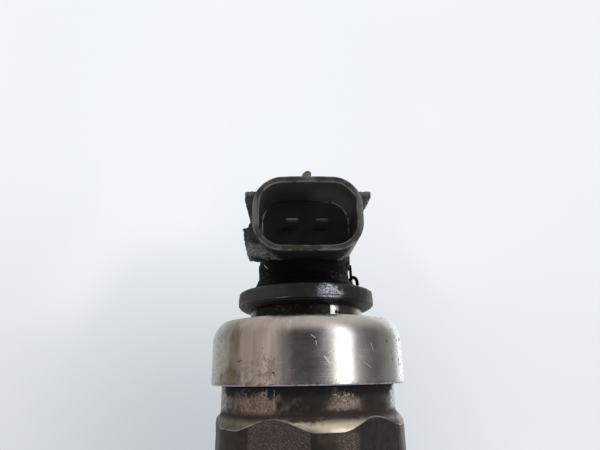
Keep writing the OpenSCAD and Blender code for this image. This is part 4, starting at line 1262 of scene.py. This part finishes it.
def build_inlet_union():
    """High-pressure union: hexagon, relief, thread with a trapezoid profile and an inner cone."""
    hex_y = high("inlet_gasket").y
    tip = high("inlet_union").y
    thread_y = hex_y + 6
    major, core, pitch = 7, 6.1, 1.5
    hex_r, hex_flat_r, relief_r = 9.8, 8.5, 5.8
    outline = refine(fillet([
        (2, hex_y + 0.5, 0), (2.4, hex_y, 0), (8.9, hex_y, 0.1),
        (hex_r, hex_y + 0.8, 0.2), (hex_r, thread_y - 0.8, 0.2),
        (8.4, thread_y, 0.2), (relief_r, thread_y, 0.3), (relief_r, thread_y + 1.5, 0.2),
        (major, thread_y + 2.7, 0), (major, tip - 1, 0.1), (major - 1, tip, 0.1),
        (4.2, tip, 0.1), (2, tip - 5.5, 0.2),
    ]), 0.14)

    def hex_and_thread(r, angle, y):
        if hex_y <= y <= thread_y + 0.01 and r > 6:
            return soft_min(r, polygon_radius(angle, hex_flat_r, 6, 0), 0.15)
        if r > core and y > thread_y + 1.4:
            turn = (y / pitch - angle / (2 * math.pi)) % 1
            ridge = min(abs(turn - 0.5) * 2.5, 1)
            return min(r, core + (major - core) * ridge)
        return r

    revolve("inlet_connection", outline, 192, along_y, hex_and_thread, node="inlet_union",
            slot="plated_steel")


def build_return_fitting():
    """Leak-off nipple: a small hexagon and a grooved spout."""
    hex_x = high("return_gasket").x
    tip = high("return_fitting").x
    nipple_x = hex_x + 4
    hex_r, hex_flat_r, nipple_r, groove_r, bore_r = 6.3, 5.5, 2.5, 2.0, 1.3
    outline = refine(fillet([
        (bore_r, hex_x + 0.5, 0), (1.6, hex_x, 0), (5.6, hex_x, 0.1),
        (hex_r, hex_x + 0.5, 0.2), (hex_r, nipple_x - 0.5, 0.2),
        (5.4, nipple_x, 0.2), (nipple_r, nipple_x, 0.3), (nipple_r, tip - 3.6, 0.1),
        (groove_r, tip - 3.4, 0.1), (groove_r, tip - 2.6, 0.1),
        (nipple_r, tip - 2.4, 0.1), (nipple_r, tip - 0.5, 0.15),
        (groove_r, tip, 0.1), (bore_r, tip, 0.1), (bore_r, tip - 2, 0),
    ]), 0.25)

    def hexed(r, angle, x):
        if hex_x <= x <= nipple_x + 0.01 and r > 3.5:
            return soft_min(r, polygon_radius(angle, hex_flat_r, 6, 0), 0.12)
        return r

    revolve("return_nipple", outline, 128, along_x, hexed, node="return_fitting", slot="plated_steel")


def ring_outline(inner, outer, bottom, top, edge):
    """Outline of a plain ring whose four corners are rounded."""
    middle = (inner + outer) / 2
    return fillet([(middle, bottom, 0), (outer, bottom, edge), (outer, top, edge), (inner, top, edge),
                   (inner, bottom, edge), (middle - 0.1, bottom, 0)])


def build_gaskets():
    """Copper washers under the inlet union, the return fitting and the nozzle nut."""
    for name, node, place, axis, bore_r, rim_r, edge, sides in (
        ("inlet_washer", "inlet_gasket", along_y, 1, 6.2, 8.1, 0.25, 96),
        ("return_washer", "return_gasket", along_x, 0, 4.1, 5.3, 0.2, 96),
        ("seat_washer", "nozzle_washer", upright, 2, 3.7, high("nozzle_washer").x, 0.25, 128),
    ):
        outline = ring_outline(bore_r, rim_r, low(node)[axis], high(node)[axis], edge)
        revolve(name, outline, sides, place, node=node, slot="copper")


def build_nozzle_nut():
    """Nozzle's cap nut, with two spanner flats."""
    bottom = low("nozzle_nut").z
    top = high("nozzle_nut").z
    flats_low, flats_high, flats_half_width = 28, 36, 8.4
    throat_r, thread_r = 4.6, 8
    outline = refine(fillet([
        (throat_r, bottom + 0.3, 0), (4.9, bottom, 0), (SHANK_R - 1.2, bottom, 0.4),
        (SHANK_R, bottom + 1.2, 0.8), (SHANK_R, top - 0.4, 0.15),
        (SHANK_R - 0.4, top, 0), (thread_r, top, 0), (thread_r, top - 1, 0), (throat_r, top - 2, 0),
    ]), 0.5)
    skin = uneven(1.5, 0.012, 8.3)

    def flats(r, angle, z):
        if flats_low <= z <= flats_high and r > thread_r + 0.1:
            r = soft_min(r, slab_radius(math.sin(angle), flats_half_width), 0.15)
        return skin(r, angle, z)

    revolve("nozzle_cap", outline, 192, reshape=flats, node="nozzle_nut", slot="nozzle_steel")


def build_nozzle():
    """Nozzle: blunt tip and slim nose below the seat, wider shank inside the nut."""
    tip = low("nozzle_body").z
    nose_r, relief_r, shoulder_r, shank_r = 3.5, 3.35, 4.5, 7
    shank_low, shank_high = 10, 24
    outline = refine(fillet([
        (0.05, tip, 0), (1.6, tip + 0.4, 0.8), (nose_r - 0.5, tip + 2.3, 0.6), (nose_r, tip + 3.6, 0.6),
        (nose_r, -0.5, 0.05), (relief_r, -0.3, 0), (relief_r, 1.7, 0.2), (shoulder_r, 2.7, 0.2),
        (shoulder_r, shank_low, 0), (shank_r, shank_low, 0.2), (shank_r, shank_high, 0),
        (0.05, shank_high, 0),
    ]), 0.3)
    sooty = uneven(0.8, 0.03, 0.3)

    def below_seat(r, angle, z):
        return sooty(r, angle, z) if z < 0 else r

    revolve("nozzle_tip", outline, 144, reshape=below_seat, closed=False, node="nozzle_body",
            slot="nozzle_steel")
    build_spray_holes(tip)


def build_spray_holes(tip):
    """Spray holes round the tip, each shown by the black end of a short pin that points out and down."""
    holes, down, hole_r = 7, 0.35, 0.11
    pin = (1.75, 2.0, 2.17)
    centre = Vector((0, 0, tip + 1.55))
    for k, angle in enumerate(circle(holes)):
        out = Vector(upright(1, angle, -down)).normalized()
        path = [centre + out * reach for reach in pin]
        tube(f"spray_hole_{k}", path, hole_r, 12, slot="rubber")


build_body()
build_bosses()
build_nut()
build_solenoid_neck()
build_seal()
build_shell()
build_column()
build_ribs()
build_lock_nub()
build_wire_clip()
build_terminals()
build_inlet_union()
build_return_fitting()
build_gaskets()
build_nozzle_nut()
build_nozzle()

# ---------------------------------------------------------------- floor and light

FLOOR_R = 1000
FLOOR_GAP = 0.2


def add_floor():
    """Pale round floor, under the lowest point and out of the main view."""
    height = cad_box[0][2] / MM - FLOOR_GAP
    ring = [Vector(upright(FLOOR_R, angle, height)) * MM for angle in circle(96)]
    mesh = bpy.data.meshes.new("floor")
    mesh.from_pydata(ring, [], [tuple(range(len(ring)))])
    floor = bpy.data.objects.new("floor", mesh)
    bpy.context.collection.objects.link(floor)
    paint = Paint("floor_paint", (0.74, 0.77, 0.80), roughness=0.7)
    paint.tint(paint.noise(50, 3), (0.70, 0.73, 0.76), 0.5)
    mesh.materials.append(paint.done())


# Brightness and colour around the object, by angle from the front: positive is towards +X
STUDIO = [
    (-180, (0.80, 0.84, 0.90)), (-163, (0.54, 0.56, 0.58)), (-142, (0.44, 0.45, 0.45)),
    (-128, (0.32, 0.32, 0.31)), (-108, (0.41, 0.40, 0.37)), (-96, (0.25, 0.23, 0.20)),
    (-80, (0.58, 0.53, 0.50)), (-64, (0.42, 0.38, 0.36)), (-48, (0.86, 0.79, 0.78)),
    (-38, (0.48, 0.44, 0.43)), (-20, (0.080, 0.080, 0.085)), (8, (0.055, 0.055, 0.06)),
    (25, (0.36, 0.36, 0.37)), (31, (2.7, 2.7, 2.7)), (48, (2.7, 2.7, 2.7)), (53, (0.40, 0.40, 0.40)),
    (74, (0.13, 0.13, 0.12)), (86, (0.12, 0.12, 0.115)), (93, (0.22, 0.22, 0.22)),
    (104, (0.36, 0.36, 0.36)), (116, (0.46, 0.47, 0.48)), (124, (0.90, 0.92, 0.95)),
    (134, (1.30, 1.33, 1.37)), (180, (0.80, 0.84, 0.90)),
]
OVERHEAD = (0.72, 0.69, 0.66, 1)
UNDERFOOT = (0.45, 0.46, 0.48, 1)
BACKDROP_LOW = (0.54, 0.575, 0.61, 1)
BACKDROP_HIGH = (0.88, 0.92, 0.96, 1)
BACKDROP_GLOW = (0.93, 0.95, 0.97, 1)
BACKDROP_SIDES = (0.88, 0.905, 0.93, 1)


def add_world():
    """Studio surround for the reflections, and a pale backdrop for the eye with a painted shadow behind the
    object.
    """
    world = bpy.data.worlds.new("studio")
    bpy.context.scene.world = world
    world.use_nodes = True
    tree = world.node_tree
    tree.nodes.clear()
    direction = add_node(tree, "ShaderNodeTexCoord", {}).outputs["Generated"]
    x, y, z = add_node(tree, "ShaderNodeSeparateXYZ", {0: direction}).outputs

    angle = add_math(tree, "ARCTAN2", x, add_math(tree, "MULTIPLY", y, -1))
    turn = add_math(tree, "ADD", add_math(tree, "DIVIDE", angle, 2 * math.pi), 0.5)
    ramp = add_node(tree, "ShaderNodeValToRGB", {0: turn})
    marks = ramp.color_ramp.elements
    while len(marks) < len(STUDIO):
        marks.new(0.5)
    for mark, (degrees, color) in zip(marks, STUDIO):
        mark.position = degrees / 360 + 0.5
        mark.color = (*color, 1)
    around = mix_colors(tree, add_step(tree, z, 0.35, 0.9), ramp.outputs[0], OVERHEAD)
    around = mix_colors(tree, add_step(tree, z, -0.25, -0.8), around, UNDERFOOT)

    backdrop = mix_colors(tree, add_step(tree, z, -0.16, 0.45), BACKDROP_LOW, BACKDROP_HIGH)
    soft_cloud = {"Vector": direction, "Scale": 2.2, "Detail": 1.0}
    cloud = add_node(tree, "ShaderNodeTexNoise", soft_cloud).outputs[0]
    glow = add_math(tree, "MULTIPLY", add_step(tree, cloud, 0.5, 0.66), 0.7)
    backdrop = mix_colors(tree, glow, backdrop, BACKDROP_GLOW)
    # Painted shadow: the backdrop is darker in the middle, behind the object, and lighter towards both sides.
    distance_from_shadow = add_math(tree, "ABSOLUTE", add_math(tree, "ADD", x, 0.12))
    sides = add_math(tree, "MULTIPLY", add_step(tree, distance_from_shadow, 0.05, 0.65), 0.8)
    backdrop = mix_colors(tree, sides, backdrop, BACKDROP_SIDES)

    seen = add_node(tree, "ShaderNodeLightPath", {}).outputs["Is Camera Ray"]
    shown = mix_colors(tree, seen, around, backdrop)
    light = add_node(tree, "ShaderNodeBackground", {"Color": shown, "Strength": 1.0})
    add_node(tree, "ShaderNodeOutputWorld", {0: light.outputs[0]})


add_floor()
add_world()
bpy.context.scene.view_settings.view_transform = "Standard"
